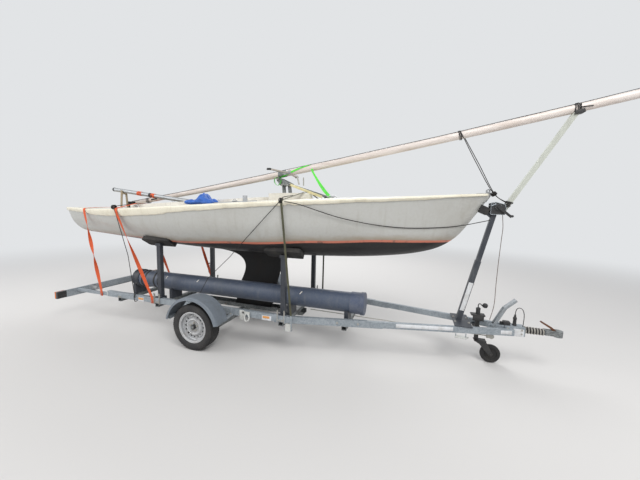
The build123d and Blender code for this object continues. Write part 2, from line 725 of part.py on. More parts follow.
stand_size, stand_wall = 50, 4
post_space = beam(along_post(0.12), post_top, stand_size, stand_size)
upper_post = beam(along_post(0.12), post_top, stand_size, stand_size, stand_wall)
lower_post = beam(post_base, along_post(0.55), stand_size + 10, stand_size + 10, stand_wall + 1)
foot_cut = Pos(3108, 0, plate_top - 100) * Box(400, 400, 200)
plate_half = arm_y(3108) + 20
base_plate = Pos(3140, 0, drawbar_top + plate_thickness / 2) * Box(190, 2 * plate_half, plate_thickness)

stop_x, stop_z = 3290, 1812
stop_block = Pos(stop_x, 0, stop_z) * Rot(0, 24, 0) * Box(96, 110, 84)
stop_arm = beam((along_post(0.955)[0] - 22, 0, 1732), (stop_x + 16, 0, stop_z - 20), 40, 30)
pieces["winch_post"] = (lower_post - foot_cut) + upper_post + base_plate + (stop_arm - stop_block)
pieces["bow_stop"] = stop_block - body

# Winch: two shaped cheeks on a base block, a flanged drum with its ratchet gear, and a folded crank
winch_x, winch_z = 3425, 1848
cheek_half, cheek_thickness = 50, 5
drum_flange_radius, drum_flange_thickness = 34, 7
drum_shaft_radius, gear_radius, gear_thickness = 12, 30, 10
crank_thickness, crank_fall = 8, 110
grip_radius, grip_length = 13, 76
arm_size, arm_wall = 50, 4
arm_foot, arm_head = (3474, 0, 1785), (4070, 0, 2830)
arm_space = beam(arm_foot, arm_head, arm_size, arm_size)


def cross_rod(inner, outer, radius, x=winch_x, z=winch_z):
    """A round piece across the winch, between two distances from its middle plane."""
    return rod((x, inner, z), (x, outer, z), radius)


cheek_inner = cheek_half - cheek_thickness / 2
cheek_outer = cheek_half + cheek_thickness / 2
gear_outer = cheek_outer + 4 + gear_thickness
crank_y = gear_outer + crank_thickness
winch_body = Pos(3424, 0, 1776) * Box(142, 2 * cheek_half, 26)
for side in (-1, 1):
    cheek = side_prism(
        [(3353, 1764), (3494, 1764), (3504, 1838), (3488, 1880), (3396, 1902), (3353, 1888)], cheek_thickness / 2)
    winch_body += Pos(0, side * cheek_half, 0) * cheek
    winch_body += cross_rod(side * (cheek_inner - drum_flange_thickness), side * cheek_inner, drum_flange_radius)
    winch_body += cross_rod(side * (cheek_inner - drum_flange_thickness), side * (cheek_outer + 8), drum_shaft_radius)
winch_body += cross_rod(-crank_y - crank_thickness / 2, -cheek_inner, drum_shaft_radius)
winch_body += cross_rod(-gear_outer, -gear_outer + gear_thickness, gear_radius)
winch_body += beam((winch_x, -crank_y, winch_z), (winch_x + 1.2 * crank_fall, -crank_y, winch_z - crank_fall),
                   crank_thickness, 26)
grip_x, grip_z = winch_x + 1.08 * crank_fall, winch_z - 0.9 * crank_fall
winch_body += cross_rod(-crank_y - grip_length, -crank_y, grip_radius, grip_x, grip_z)
pieces["winch"] = winch_body - post_space - arm_space - stop_arm
pieces["mast_arm"] = beam(arm_foot, arm_head, arm_size, arm_size, arm_wall) - pieces["mast"]
cradle = Pos(4085, 0, mast_height(4085)) * Rot(0, -math.degrees(mast_slope), 0) * Box(90, 120, 150)
pieces["mast_cradle"] = cradle - pieces["mast"] - arm_space

# Light board on two sliding bars
slide_size = rail_width - 2 * rail_wall - 2 * slide_clearance
board_x = -2520
slides = [
    beam((rail_aft_x + 300, side * rail_y, rail_bottom + rail_wall + slide_size / 2),
         (board_x, side * rail_y, rail_bottom + rail_wall + slide_size / 2), slide_size, slide_size, 3)
    for side in (-1, 1)
]
pieces["light_slides"] = Compound(slides)
board_half = 790
board_top = 445
board_height = 110
pieces["light_board"] = Pos(board_x - 12, 0, board_top - board_height / 2) * Box(24, 2 * board_half, board_height)
lamps = [
    Pos(board_x - 30, side * (board_half + 62), board_top - 55) * Box(60, 124, 104) for side in (-1, 1)
]
pieces["rear_lamps"] = Compound(lamps)

# Coupling
lever_pivot_x, lever_pivot_z = 3450, 456
lever_bracket_half = 30
lever_pivot = rod((lever_pivot_x, -lever_bracket_half - 8, lever_pivot_z),
                  (lever_pivot_x, lever_bracket_half + 8, lever_pivot_z), 12)
for side in (-1, 1):
    ear = side_prism([(3425, 430), (3475, 430), (coupling_aft_x, 410), (coupling_aft_x, 484), (3440, 484),
                      (3425, 470)], 3)
    housing = housing + Pos(0, side * lever_bracket_half, 0) * ear
pieces["coupling_housing"] = housing - lever_pivot
draw_z = rail_bottom + 62
bellows_points = [(coupling_aft_x + 200, 20)]
fold_count = 7
fold_pitch = 200 / fold_count
for i in range(fold_count):
    x = coupling_aft_x + 200 + i * fold_pitch
    bellows_points += [(x, 30), (x + fold_pitch / 2, 42)]
bellows_points += [(coupling_aft_x + 400, 30), (coupling_aft_x + 400, 20)]
pieces["coupling_bellows"] = turned(bellows_points, (0, 0, draw_z), along="x")
draw_tube = rod((coupling_aft_x + 200, 0, draw_z), (coupling_aft_x + 460, 0, draw_z), 20)
head_x = coupling_aft_x + 530
ball_radius = 25
head = Pos(head_x - 50, 0, draw_z + 4) * Box(160, 70, 56) + Pos(head_x, 0, draw_z + 2) * Cylinder(46, 68)
head -= Pos(head_x, 0, draw_z - 14) * Sphere(ball_radius + 0.4)
head -= Pos(head_x, 0, draw_z - 34) * Cylinder(ball_radius + 0.4, 40)
pieces["coupling_head"] = head + draw_tube
handle = side_prism(
    [(head_x - 20, draw_z + 36), (head_x - 60, draw_z + 66), (head_x - 168, draw_z + 126),
     (head_x - 176, draw_z + 112), (head_x - 74, draw_z + 50), (head_x - 60, draw_z + 32)], 16)
pieces["coupling_handle"] = handle - pieces["coupling_head"]

# Handbrake lever
lever_flats = [
    Pos(0, dy, 0) * side_prism(
        [(3432, 432), (3466, 432), (3600, 745), (3578, 760)], 3) for dy in (-16, 16)]
lever_grip = side_prism([(3560, 738), (3590, 726), (3745, 806), (3738, 828)], 19)
pieces["brake_lever"] = lever_flats[0] + lever_flats[1] + lever_grip + lever_pivot

# Jockey wheel: clamp and outer tube on the frame, swivelling fork, wheel, crank
jockey_x = 3320
jockey_offset = 160
jockey_wheel_radius = 110
jockey_wheel_width = 60
jockey_tube_radius = 24
jockey_inner_radius = 17
jockey_bore = jockey_inner_radius + 0.3
tube_low, tube_high = 270, 640
clamp_corners = [
    (x, arm_y(x) - drawbar_width / 2 / math.cos(math.atan(arm_slope))) for x in (jockey_x - 35, jockey_x + 35)
]
clamp_plate = plan_prism(
    clamp_corners + [(x, -y) for x, y in reversed(clamp_corners)], rail_bottom + 4, rail_bottom + 28)
outer_tube = rod((jockey_x, 0, tube_low), (jockey_x, 0, tube_high), jockey_tube_radius, jockey_bore)
clamp_block = Pos(jockey_x, 0, rail_bottom - 20) * Box(64, 70, 50)
tube_space = rod((jockey_x, 0, tube_low), (jockey_x, 0, tube_high), jockey_tube_radius)
pieces["jockey_clamp"] = ((clamp_plate + clamp_block) - tube_space) + outer_tube

fork_top = tube_low - running_gap
wheel_x = jockey_x + jockey_offset
fork_inner = jockey_wheel_width / 2 + running_gap
fork = rod((jockey_x, 0, fork_top - 12), (jockey_x, 0, tube_high - 60), jockey_inner_radius)
fork += Pos(jockey_x + 40, 0, fork_top - 5) * Box(130, 2 * fork_inner + 12, 10)
for side in (-1, 1):
    cheek = side_prism(
        [(jockey_x - 25, fork_top - 10), (jockey_x + 105, fork_top - 10), (wheel_x + 22, jockey_wheel_radius + 8),
         (wheel_x + 10, jockey_wheel_radius - 20), (wheel_x - 14, jockey_wheel_radius - 20),
         (jockey_x + 30, fork_top - 40)], 3)
    fork += Pos(0, side * (fork_inner + 3), 0) * cheek
pin_radius = 8
fork += rod((wheel_x, -fork_inner - 12, jockey_wheel_radius), (wheel_x, fork_inner + 12, jockey_wheel_radius),
            pin_radius)
pieces["jockey_fork"] = fork
half = jockey_wheel_width / 2
pieces["jockey_wheel"] = turned([
    (-half, pin_radius + 0.05), (-half, 24), (-half + 12, 30), (-half + 12, 68), (-half + 2, 74),
    (-half + 2, 92), (-half + 10, 105), (-half + 22, jockey_wheel_radius), (half - 22, jockey_wheel_radius),
    (half - 10, 105), (half - 2, 92), (half - 2, 74), (half - 12, 68), (half - 12, 30), (half, 24),
    (half, pin_radius + 0.05)], (wheel_x, 0, jockey_wheel_radius))
crank = rod((jockey_x, 0, tube_high), (jockey_x, 0, tube_high + 24), 26)
crank += rod((jockey_x, 0, tube_high + 10), (jockey_x, 0, tube_high + 50), 8)
crank += beam((jockey_x - 8, 0, tube_high + 50), (jockey_x + 100, 0, tube_high + 62), 16, 8)
crank += rod((jockey_x + 92, 0, tube_high + 60), (jockey_x + 92, 0, tube_high + 130), 13)
pieces["jockey_crank"] = crank

# Lashing straps over the boat. Columns: x at the gunwale, x at the rail, width, and what the strap runs
# over on deck as rows of half width and height above the sheer.
well_run = ((400, 79), (0, 79))
splash_run = ((130, 133), (0, 133))
aft_run = ((330, 18), (0, 30))
strap_rows = ((-1490, -975, 48, well_run), (-2390, -1970, 48, aft_run), (1125, 1176, 26, splash_run))
strap_gap = 0.3
strap_thickness = 3


def strap(gunwale_x, rail_x, width, deck_points):
    """A belt from one rail up to the gunwale, over the deck and down to the other rail."""
    edge = interpolate(gunwale_x, 1) + strake_thickness + strap_thickness / 2
    top = interpolate(gunwale_x, 2) + 2
    right = [(-edge, top)] + [(-y, top + rise) for y, rise in deck_points]
    points = right + [(-y, z) for y, z in reversed(right[:-1])]
    over = Plane.YZ.offset(gunwale_x - width / 2) * make_face(Polyline(*band(points, strap_thickness), close=True))
    belt = extrude(over, amount=width)
    for side in (-1, 1):
        foot_y = side * (rail_y + rail_width / 2 + strap_thickness / 2 + strap_gap)
        belt += beam((rail_x, foot_y, rail_bottom - 20), (rail_x, foot_y, rail_top - 4), width, strap_thickness,
                     across=(1, 0, 0))
        belt += beam((rail_x, foot_y, rail_top - 6), (gunwale_x, side * edge, top), width, strap_thickness,
                     across=(1, 0, 0))
    return belt


belts = [strap(*row) - body - pieces["gunwale_strake"] - pieces["cockpit_coaming"] for row in strap_rows]
pieces["lashing_straps"] = Compound([solid for belt in belts for solid in belt.solids()])

# A soft blue sail bag on the starboard side deck
bag_x, bag_y = -100, -640
bag_length, bag_width, bag_height = 420, 230, 150
bag_z = interpolate(bag_x, 2) + 18
bag = Pos(bag_x, bag_y, bag_z + bag_height / 2) * Rot(0, 3, 0) * Box(bag_length, bag_width, bag_height)
bag = fillet(bag.edges(), 50)
pieces["sail_bag"] = bag - body - pieces["cockpit_coaming"] - Pos(0, 0, 0.3) * body

# The plug of the trailer's lamps, parked upright on the coupling housing
plug_x, plug_y = 3705, 0
housing_top = rail_bottom + 100
pieces["cable_plug"] = Pos(plug_x, plug_y, housing_top) * turned([
    (0, 0), (0, 22), (14, 22), (18, 18), (70, 17), (78, 20), (92, 20), (98, 14), (130, 8), (130, 0)],
    (0, 0, 0), along="z")


def cord(points, diameter):
    """A round cord along straight runs with tangent arcs at the corners."""
    radii = []
    for a, b, c in zip(points, points[1:], points[2:]):
        before, after = Vector(*b) - Vector(*a), Vector(*c) - Vector(*b)
        turn = math.radians(before.get_angle(after))
        radii.append(0.45 * min(before.length, after.length) / math.tan(turn / 2))
    path = FilletPolyline(*points, radius=radii)
    print("arc radii", [round(value) for value in radii], "length", round(path.length))
    start = Plane(origin=points[0], z_dir=Vector(*points[1]) - Vector(*points[0]))
    return sweep(start * Circle(diameter / 2), path=path)


# The slack bow rope, from the gunwale along the topside to the winch post
bow_rope_diameter = 10
bow_rope_points = [
    (1162, -851, 1853), (1262, -838, 1838), (1370, -820, 1812), (1490, -792, 1772), (1620, -745, 1728),
    (1755, -700, 1688), (1895, -647, 1658), (2035, -590, 1630), (2180, -517, 1609), (2325, -458, 1595),
    (2465, -400, 1588), (2600, -340, 1590), (2730, -282, 1595), (2860, -212, 1603), (2985, -137, 1615),
    (3105, -65, 1634), (3225, -30, 1662), (3392, -10, 1704),
]
pieces["bow_rope"] = cord(bow_rope_points, bow_rope_diameter) - post_space

# The lamp cable, from the plug down into the coupling housing
plug_cable_diameter = 8
plug_cable_points = [
    (3705, 0, 621), (3706, 0, 655), (3716, -3, 690), (3742, -8, 706), (3770, -13, 692), (3786, -17, 650),
    (3789, -20, 595), (3786, -22, 540), (3784, -22, 491),
]
pieces["plug_cable"] = cord(plug_cable_points, plug_cable_diameter)

# Move everything so that the origin is at the middle of the plan, on the ground
whole = Compound(list(pieces.values())).bounding_box()
middle = Pos(-(whole.min.X + whole.max.X) / 2, 0, 0)
os.makedirs("parts", exist_ok=True)
for name, piece in pieces.items():
    export_step(middle * piece, "parts/" + name + ".step")
print("pieces", len(pieces), "shift", round(-(whole.min.X + whole.max.X) / 2, 3))
print("x", round(whole.min.X, 1), round(whole.max.X, 1), "y", round(whole.min.Y, 2), round(whole.max.Y, 2),
      "z", round(whole.min.Z, 2), round(whole.max.Z, 2))
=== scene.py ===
import bpy
import bmesh
import json
import math
from mathutils import Matrix, Vector, noise

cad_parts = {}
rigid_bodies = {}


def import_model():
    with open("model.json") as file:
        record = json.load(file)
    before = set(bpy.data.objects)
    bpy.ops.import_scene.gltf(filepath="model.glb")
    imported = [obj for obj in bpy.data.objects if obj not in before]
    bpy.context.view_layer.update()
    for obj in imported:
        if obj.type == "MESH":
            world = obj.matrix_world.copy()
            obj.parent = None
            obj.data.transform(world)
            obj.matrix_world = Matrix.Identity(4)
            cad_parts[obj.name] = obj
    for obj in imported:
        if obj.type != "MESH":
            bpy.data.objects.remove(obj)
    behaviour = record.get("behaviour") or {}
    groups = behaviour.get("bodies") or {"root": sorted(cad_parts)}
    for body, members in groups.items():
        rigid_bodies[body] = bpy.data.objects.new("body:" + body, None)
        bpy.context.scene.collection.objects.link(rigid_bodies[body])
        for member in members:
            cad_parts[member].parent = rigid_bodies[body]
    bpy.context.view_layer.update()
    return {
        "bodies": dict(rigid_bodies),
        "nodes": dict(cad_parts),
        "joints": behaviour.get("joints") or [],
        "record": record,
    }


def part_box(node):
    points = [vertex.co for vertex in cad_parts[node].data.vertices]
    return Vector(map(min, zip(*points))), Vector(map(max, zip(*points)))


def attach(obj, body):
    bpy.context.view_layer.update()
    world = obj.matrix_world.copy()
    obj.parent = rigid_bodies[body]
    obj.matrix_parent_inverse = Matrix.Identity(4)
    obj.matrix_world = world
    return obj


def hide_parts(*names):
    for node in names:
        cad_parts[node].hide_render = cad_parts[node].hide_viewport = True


# An open fin-keel boat on its road trailer. Lengths are metres. Most places are given as the part's own
# drawing gives them: x forward from the wheel axle, y to port, z up from the ground; at() turns them
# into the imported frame.

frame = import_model()
nodes = frame["nodes"]
mainBody = "trailer_and_boat"
tyreLow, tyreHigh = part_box("tyre_right")
axleX = (tyreLow.x + tyreHigh.x) / 2
print("frame loaded, axle at", round(axleX, 4))


def at(x, y, z):
    return Vector((x + axleX, y, z))


def srgb(r, g, b):  # a colour as a picture shows it, 0 to 255
    shares = (r / 255, g / 255, b / 255)
    return tuple(c / 12.92 if c <= 0.04045 else ((c + 0.055) / 1.055) ** 2.4 for c in shares) + (1,)


def eased(share):
    return share * share * (3 - 2 * share)


def between(table, x):  # eased steps through a table of (x, value) that is sorted by falling x
    if x >= table[0][0]:
        return table[0][1]
    for ahead, behind in zip(table, table[1:]):
        if x >= behind[0]:
            return behind[1] + (ahead[1] - behind[1]) * eased((x - behind[0]) / (ahead[0] - behind[0]))
    return table[-1][1]


def angles(count, more=0):  # even steps round a full turn, and on past it
    return [2 * math.pi * i / count for i in range(count + more)]


def newObject(name, data):
    made = bpy.data.objects.new(name, data)
    bpy.context.scene.collection.objects.link(made)
    return made


class Tree:  # short calls for building a node tree
    def __init__(self, tree):
        self.tree = tree

    def give(self, socket, value):  # a fixed value, or the output of another node
        if isinstance(value, bpy.types.NodeSocket):
            self.tree.links.new(value, socket)
        else:
            socket.default_value = value

    def node(self, kind, inputs=(), **settings):
        made = self.tree.nodes.new(kind)
        for key, value in settings.items():
            setattr(made, key, value)
        for key, value in dict(inputs).items():
            self.give(made.inputs[key], value)
        return made

    def place(self, kind="Object"):
        return self.node("ShaderNodeTexCoord").outputs[kind]

    def parts(self, vector):
        return self.node("ShaderNodeSeparateXYZ", {0: vector}).outputs

    def noise(self, vector, scale, detail, rough):
        inputs = {"Vector": vector, "Scale": scale, "Detail": detail, "Roughness": rough}
        return self.node("ShaderNodeTexNoise", inputs).outputs["Fac"]

    def cells(self, vector, scale):
        return self.node("ShaderNodeTexVoronoi", {"Vector": vector, "Scale": scale}, feature="F1").outputs

    def ramp(self, value, low, high, kind="SMOOTHSTEP"):
        inputs = {"Value": value, "From Min": low, "From Max": high}
        return self.node("ShaderNodeMapRange", inputs, interpolation_type=kind).outputs["Result"]

    def math(self, kind, *values):
        return self.node("ShaderNodeMath", enumerate(values), operation=kind).outputs[0]

    def plus(self, a, b):
        return self.math("ADD", a, b)

    def times(self, a, b):
        return self.math("MULTIPLY", a, b)

    def mix(self, share, a, b):
        return self.node("ShaderNodeMix", {0: share, 6: a, 7: b}, data_type="RGBA").outputs[2]

    def stretched(self, vector, scale):
        return self.node("ShaderNodeMapping", {"Scale": scale, "Vector": vector}).outputs["Vector"]

    def seen(self):  # 1 for what the camera or a shiny surface looks at
        path = self.node("ShaderNodeLightPath").outputs
        return self.math("MAXIMUM", path["Is Camera Ray"], path["Is Glossy Ray"])


# Camera and stage

view = {
    "place": (2.506, -3.784, 1.77),
    "focal": 289.8,  # in pixels of the 640 wide picture
    "yaw": 17.45,
    "pitch": 5.94,
    "roll": 1.35,
}
backColor = srgb(226, 228, 230)


def addCamera():
    yaw, pitch, roll = (math.radians(view[k]) for k in ("yaw", "pitch", "roll"))
    forward = Vector((-math.sin(yaw) * math.cos(pitch), math.cos(yaw) * math.cos(pitch), -math.sin(pitch)))
    side = Vector((math.cos(yaw), math.sin(yaw), 0))
    up = side.cross(forward)
    right = side * math.cos(roll) + up * math.sin(roll)
    top = up * math.cos(roll) - side * math.sin(roll)
    camera = newObject("camera", bpy.data.cameras.new("camera"))
    camera.data.sensor_width = 36
    camera.data.lens = 36 * view["focal"] / 640
    camera.data.clip_end = 200
    turn = Matrix((right, top, -forward)).transposed().to_4x4()
    camera.matrix_world = Matrix.Translation(at(*view["place"])) @ turn
    bpy.context.scene.camera = camera


def addFloor():  # a wide floor that fades into the backdrop
    reach = 60
    floor = newObject("floor", bpy.data.meshes.new("floor"))
    corners = [(-reach, -reach, 0), (reach, -reach, 0), (reach, reach, 0), (-reach, reach, 0)]
    floor.data.from_pydata(corners, [], [(0, 1, 2, 3)])
    paint = bpy.data.materials.new("floorPaint")
    paint.use_nodes = True
    t = Tree(paint.node_tree)
    ground = t.tree.nodes["Principled BSDF"]
    ground.inputs["Base Color"].default_value = srgb(208, 206, 203)
    ground.inputs["Roughness"].default_value = 0.9
    glow = t.node("ShaderNodeEmission", {"Color": backColor})
    away = t.node("ShaderNodeVectorMath", {0: t.place()}, operation="LENGTH")
    fade = t.ramp(away.outputs["Value"], 5.0, 15.0, "SMOOTHERSTEP")
    shaders = {0: t.times(fade, t.seen()), 1: ground.outputs[0], 2: glow.outputs[0]}
    blend = t.node("ShaderNodeMixShader", shaders)
    t.give(t.tree.nodes["Material Output"].inputs["Surface"], blend.outputs[0])
    floor.data.materials.append(paint)


def addLight():
    world = bpy.data.worlds.new("studio")
    bpy.context.scene.world = world
    world.use_nodes = True
    t = Tree(world.node_tree)
    sky = t.tree.nodes["Background"]
    sky.inputs["Color"].default_value = (0.93, 0.95, 1.0, 1)
    sky.inputs["Strength"].default_value = 0.62
    pale = t.node("ShaderNodeBackground", {"Color": backColor})
    blend = t.node("ShaderNodeMixShader", {0: t.seen(), 1: sky.outputs[0], 2: pale.outputs[0]})
    t.give(t.tree.nodes["World Output"].inputs[0], blend.outputs[0])
    for name, place, aim, size, power in (
        ("keyLamp", (5.5, -5.5, 8.5), (0.3, 0, 1.0), 5.0, 620),
        ("fillLamp", (-6.0, -5.0, 5.0), (-0.5, 0, 1.0), 6.0, 260),
        ("backLamp", (-1.0, 7.5, 7.0), (0, 0, 1.2), 6.0, 420),
    ):
        lamp = newObject(name, bpy.data.lights.new(name, "AREA"))
        lamp.data.size = size
        lamp.data.energy = power
        lamp.location = at(*place)
        lamp.rotation_euler = (at(*aim) - at(*place)).to_track_quat("-Z", "Y").to_euler()
    bpy.context.scene.view_settings.view_transform = "Standard"


addCamera()
addFloor()
addLight()
print("camera and stage ready")


# Shared shader groups. Each puts out colours, roughness, heights or normals that change over the surface.


def newGroup(name, inputs, outputs):
    group = bpy.data.node_groups.new(name, "ShaderNodeTree")
    for kind, entries in (("INPUT", inputs), ("OUTPUT", outputs)):
        for label, socketKind, *default in entries:
            socket = group.interface.new_socket(label, in_out=kind, socket_type="NodeSocket" + socketKind)
            if default:
                socket.default_value = default[0]
    t = Tree(group)
    given, result = t.node("NodeGroupInput"), t.node("NodeGroupOutput")

    def finish(**values):
        for key, value in values.items():
            t.give(result.inputs[key], value)
        return group

    return t, given.outputs, finish


def makeGrime():  # blotches, fine dust and vertical runs over one base colour
    t, given, finish = newGroup("grime", [
        ("Base", "Color"), ("Dirt", "Color"), ("Amount", "Float", 0.4), ("Runs", "Float", 0.3),
        ("Scale", "Float", 3.0), ("Roughness", "Float", 0.4)], [("Color", "Color"), ("Roughness", "Float")])
    place = t.place()
    blotch = t.ramp(t.noise(place, given["Scale"], 6, 0.62), 0.42, 0.75)
    fine = t.ramp(t.noise(place, t.times(given["Scale"], 22), 3, 0.6), 0.35, 0.7)
    streak = t.ramp(t.noise(t.stretched(place, (9, 9, 0.7)), given["Scale"], 4, 0.6), 0.5, 0.78)
    mask = t.times(t.plus(t.times(blotch, 0.7), t.times(fine, 0.3)), given["Amount"])
    mask = t.math("MINIMUM", t.plus(mask, t.times(streak, given["Runs"])), 1.0)
    return finish(Color=t.mix(mask, given["Base"], given["Dirt"]),
                  Roughness=t.plus(given["Roughness"], t.times(mask, 0.35)))


def makeEdgeWearAndHighlight():  # lighter edges, partly wear and partly painted highlight, and softly rounded corners for the shading
    t, given, finish = newGroup("edgeWearAndHighlight", [
        ("Color", "Color"), ("Worn", "Color"), ("Radius", "Float", 0.004), ("Amount", "Float", 0.6)],
        [("Color", "Color"), ("Normal", "Vector")])
    soft = t.node("ShaderNodeBevel", {"Radius": given["Radius"]}, samples=4).outputs[0]
    flat = t.node("ShaderNodeNewGeometry").outputs["Normal"]
    turn = t.node("ShaderNodeVectorMath", {0: soft, 1: flat}, operation="DOT_PRODUCT")
    edge = t.ramp(t.math("SUBTRACT", 1.0, turn.outputs["Value"]), 0.01, 0.12)
    chips = t.ramp(t.noise(t.place(), 30, 5, 0.7), 0.4, 0.62)
    mask = t.times(t.times(edge, chips), given["Amount"])
    return finish(Color=t.mix(mask, given["Color"], given["Worn"]), Normal=soft)


def makeSpangle():  # the mottled grey of old hot-dip galvanising
    t, given, finish = newGroup("spangle", [
        ("Dark", "Color"), ("Light", "Color"), ("Stain", "Color"), ("Stains", "Float", 0.25)],
        [("Color", "Color"), ("Roughness", "Float"), ("Height", "Float")])
    place = t.place()
    grey = t.node("ShaderNodeSeparateColor", {0: t.cells(place, 65)["Color"]}).outputs[0]
    cloud = t.noise(place, 4.5, 6, 0.65)
    blend = t.plus(t.times(grey, 0.28), t.times(cloud, 0.85))
    base = t.mix(t.ramp(blend, 0.3, 0.85), given["Dark"], given["Light"])
    stain = t.times(t.ramp(t.noise(place, 7.0, 7, 0.7), 0.58, 0.74), given["Stains"])
    return finish(Color=t.mix(stain, base, given["Stain"]), Roughness=t.plus(0.42, t.times(cloud, 0.3)),
                  Height=t.plus(t.noise(place, 160, 2, 0.5), t.times(cloud, 0.6)))


def makeWeave():  # warp and weft over a UV map measured in metres
    t, given, finish = newGroup("weave", [("Pitch", "Float", 0.002)],
                                [("Height", "Float"), ("Shade", "Float")])
    parts = t.parts(t.place("UV"))
    turns = t.math("DIVIDE", 2 * math.pi, given["Pitch"])
    warp, weft = (t.math("SINE", t.times(part, turns)) for part in parts[:2])
    height = t.plus(t.times(t.times(warp, weft), 0.5), 0.5)
    return finish(Height=height, Shade=t.plus(0.8, t.times(height, 0.2)))


grimeGroup, edgeGroup, spangleGroup, weaveGroup = makeGrime(), makeEdgeWearAndHighlight(), makeSpangle(), makeWeave()


class Finish:  # one material: its Principled BSDF, and the groups that feed it
    def __init__(self, name, metallic=0.0, coat=0.0):
        self.material = bpy.data.materials.new(name)
        self.material.use_nodes = True
        self.t = Tree(self.material.node_tree)
        self.shader = self.material.node_tree.nodes["Principled BSDF"]
        self.shader.inputs["Metallic"].default_value = metallic
        self.shader.inputs["Coat Weight"].default_value = coat
        self.place = self.t.place()

    def group(self, which, **inputs):
        return self.t.node("ShaderNodeGroup", inputs, node_tree=which).outputs

    def grime(self, base, dirt, amount, runs, scale, roughness):
        return self.group(grimeGroup, Base=base, Dirt=dirt, Amount=amount, Runs=runs, Scale=scale,
                          Roughness=roughness)

    def edge(self, color, wornAndLit, radius, amount):
        made = self.group(edgeGroup, Color=color, Worn=wornAndLit, Radius=radius, Amount=amount)
        return made["Color"], made["Normal"]

    def done(self, color, roughness, height, distance, strength, normal=None):  # the whole material
        bump = self.t.node("ShaderNodeBump", {"Distance": distance, "Strength": strength, "Height": height})
        if normal is not None:
            self.t.give(bump.inputs["Normal"], normal)
        for key, value in (("Base Color", color), ("Roughness", roughness), ("Normal", bump.outputs[0])):
            self.t.give(self.shader.inputs[key], value)
        return self.material


def grimyPaint(name, base, dirt, amount, runs, scale, roughness, wornAndLit=None, edgeShare=0.5, radius=0.004,
               coat=0.0, metallic=0.0, rough=0.0004):
    f = Finish(name, metallic, coat)
    grime = f.grime(srgb(*base), srgb(*dirt), amount, runs, scale, roughness)
    color, normal = grime["Color"], None
    # the edge colour is partly wear and partly painted highlight
    if wornAndLit:
        color, normal = f.edge(color, srgb(*wornAndLit), radius, edgeShare)
    return f.done(color, grime["Roughness"], f.t.noise(f.place, 140, 3, 0.6), rough, 0.35, normal)


def celledPaint(name, base, dirt, amount, runs, scale, roughness, coat, cellScale, rough, strength):
    f = Finish(name, coat=coat)
    grime = f.grime(srgb(*base), srgb(*dirt), amount, runs, scale, roughness)
    return f.done(grime["Color"], grime["Roughness"], f.t.cells(f.place, cellScale)["Distance"],
                  rough, strength)


def galvanised(name, dark, light, stain, stains):
    f = Finish(name, metallic=0.35)
    grey = f.group(spangleGroup, Dark=srgb(*dark), Light=srgb(*light), Stain=srgb(*stain), Stains=stains)
    # lighter edges: partly wear, partly painted highlight
    color, normal = f.edge(grey["Color"], srgb(196, 199, 200), 0.004, 0.45)
    return f.done(color, grey["Roughness"], grey["Height"], 0.0006, 0.35, normal)


def webbing(name, base, dirt, pitch=0.0024):
    f = Finish(name)
    grime = f.grime(srgb(*base), srgb(*dirt), 0.45, 0.15, 6.0, 0.62)
    cloth = f.group(weaveGroup, Pitch=pitch)
    shade = f.t.mix(cloth["Shade"], srgb(20, 16, 14), grime["Color"])
    return f.done(shade, grime["Roughness"], cloth["Height"], 0.0006, 0.6)


# Paints. Columns of grimyPaint: name, base colour, dirt colour, amount of dirt, runs, scale, roughness,
# and for most the colour of the edges (partly wear, partly painted highlight), how much they show and how
# wide they are. Columns of galvanised: name, dark and light grey, colour and amount of stains. Columns of
# webbing: name, base, dirt, pitch
steel = galvanised("galvanisedSteel", (134, 142, 148), (164, 171, 176), (120, 100, 82), 0.16)
paleSteel = grimyPaint("paleSteel", (204, 206, 202), (132, 122, 106), 0.5, 0.3, 9.0, 0.45,
                       (226, 227, 224), 0.4, 0.002)
oldSteel = galvanised("weatheredSteel", (84, 88, 90), (140, 143, 142), (104, 74, 52), 0.6)
guardSteel = grimyPaint("mudguardPlastic", (118, 126, 134), (78, 78, 78), 0.4, 0.2, 5.0, 0.45,
                        (170, 176, 180), 0.3, 0.002)
blackSteel = grimyPaint("blackSteel", (38, 39, 41), (92, 88, 82), 0.45, 0.25, 5.0, 0.45,
                        (120, 100, 84), 0.5)
darkRubber = grimyPaint("darkRubber", (28, 28, 29), (84, 80, 74), 0.5, 0.1, 7.0, 0.75, (70, 68, 66), 0.3)
pipePlastic = grimyPaint("pipePlastic", (70, 80, 98), (118, 120, 120), 0.5, 0.35, 2.2, 0.42,
                         (140, 148, 158), 0.3)
rustySteel = grimyPaint("rustySteel", (106, 70, 48), (58, 42, 34), 0.8, 0.2, 14.0, 0.85,
                        (140, 96, 66), 0.5, 0.002)
blackPlastic = grimyPaint("blackPlastic", (30, 30, 32), (86, 84, 80), 0.4, 0.2, 6.0, 0.5,
                          (74, 74, 76), 0.3, 0.002)
bareAlloy = grimyPaint("bareAlloy", (168, 171, 173), (104, 100, 96), 0.45, 0.3, 4.0, 0.38, (205, 207, 208),
                       0.4, 0.003, metallic=0.65)
keelPaint = grimyPaint("keelPaint", (16, 16, 18), (52, 48, 44), 0.6, 0.3, 4.5, 0.72,
                       (60, 54, 48), 0.3, 0.004)
deckGelcoat = grimyPaint("deckGelcoat", (226, 222, 208), (158, 148, 126), 0.5, 0.15, 2.6, 0.36, coat=0.15)
creamGelcoat = grimyPaint("creamGelcoat", (238, 232, 212), (172, 158, 126), 0.42, 0.2, 4.0, 0.34, coat=0.2)
stainless = grimyPaint("stainless", (176, 178, 180), (112, 104, 94), 0.35, 0.2, 12.0, 0.3, metallic=0.85)
wheelSilver = grimyPaint("wheelSilver", (178, 180, 182), (112, 98, 84), 0.5, 0.1, 9.0, 0.4, (228, 229, 230),
                         0.6, 0.004, metallic=0.3)
orangeWebbing = webbing("orangeWebbing", (226, 92, 40), (150, 70, 40))
oliveWebbing = webbing("oliveWebbing", (84, 84, 62), (54, 50, 40))
greenWebbing = webbing("greenWebbing", (96, 226, 70), (70, 150, 60))
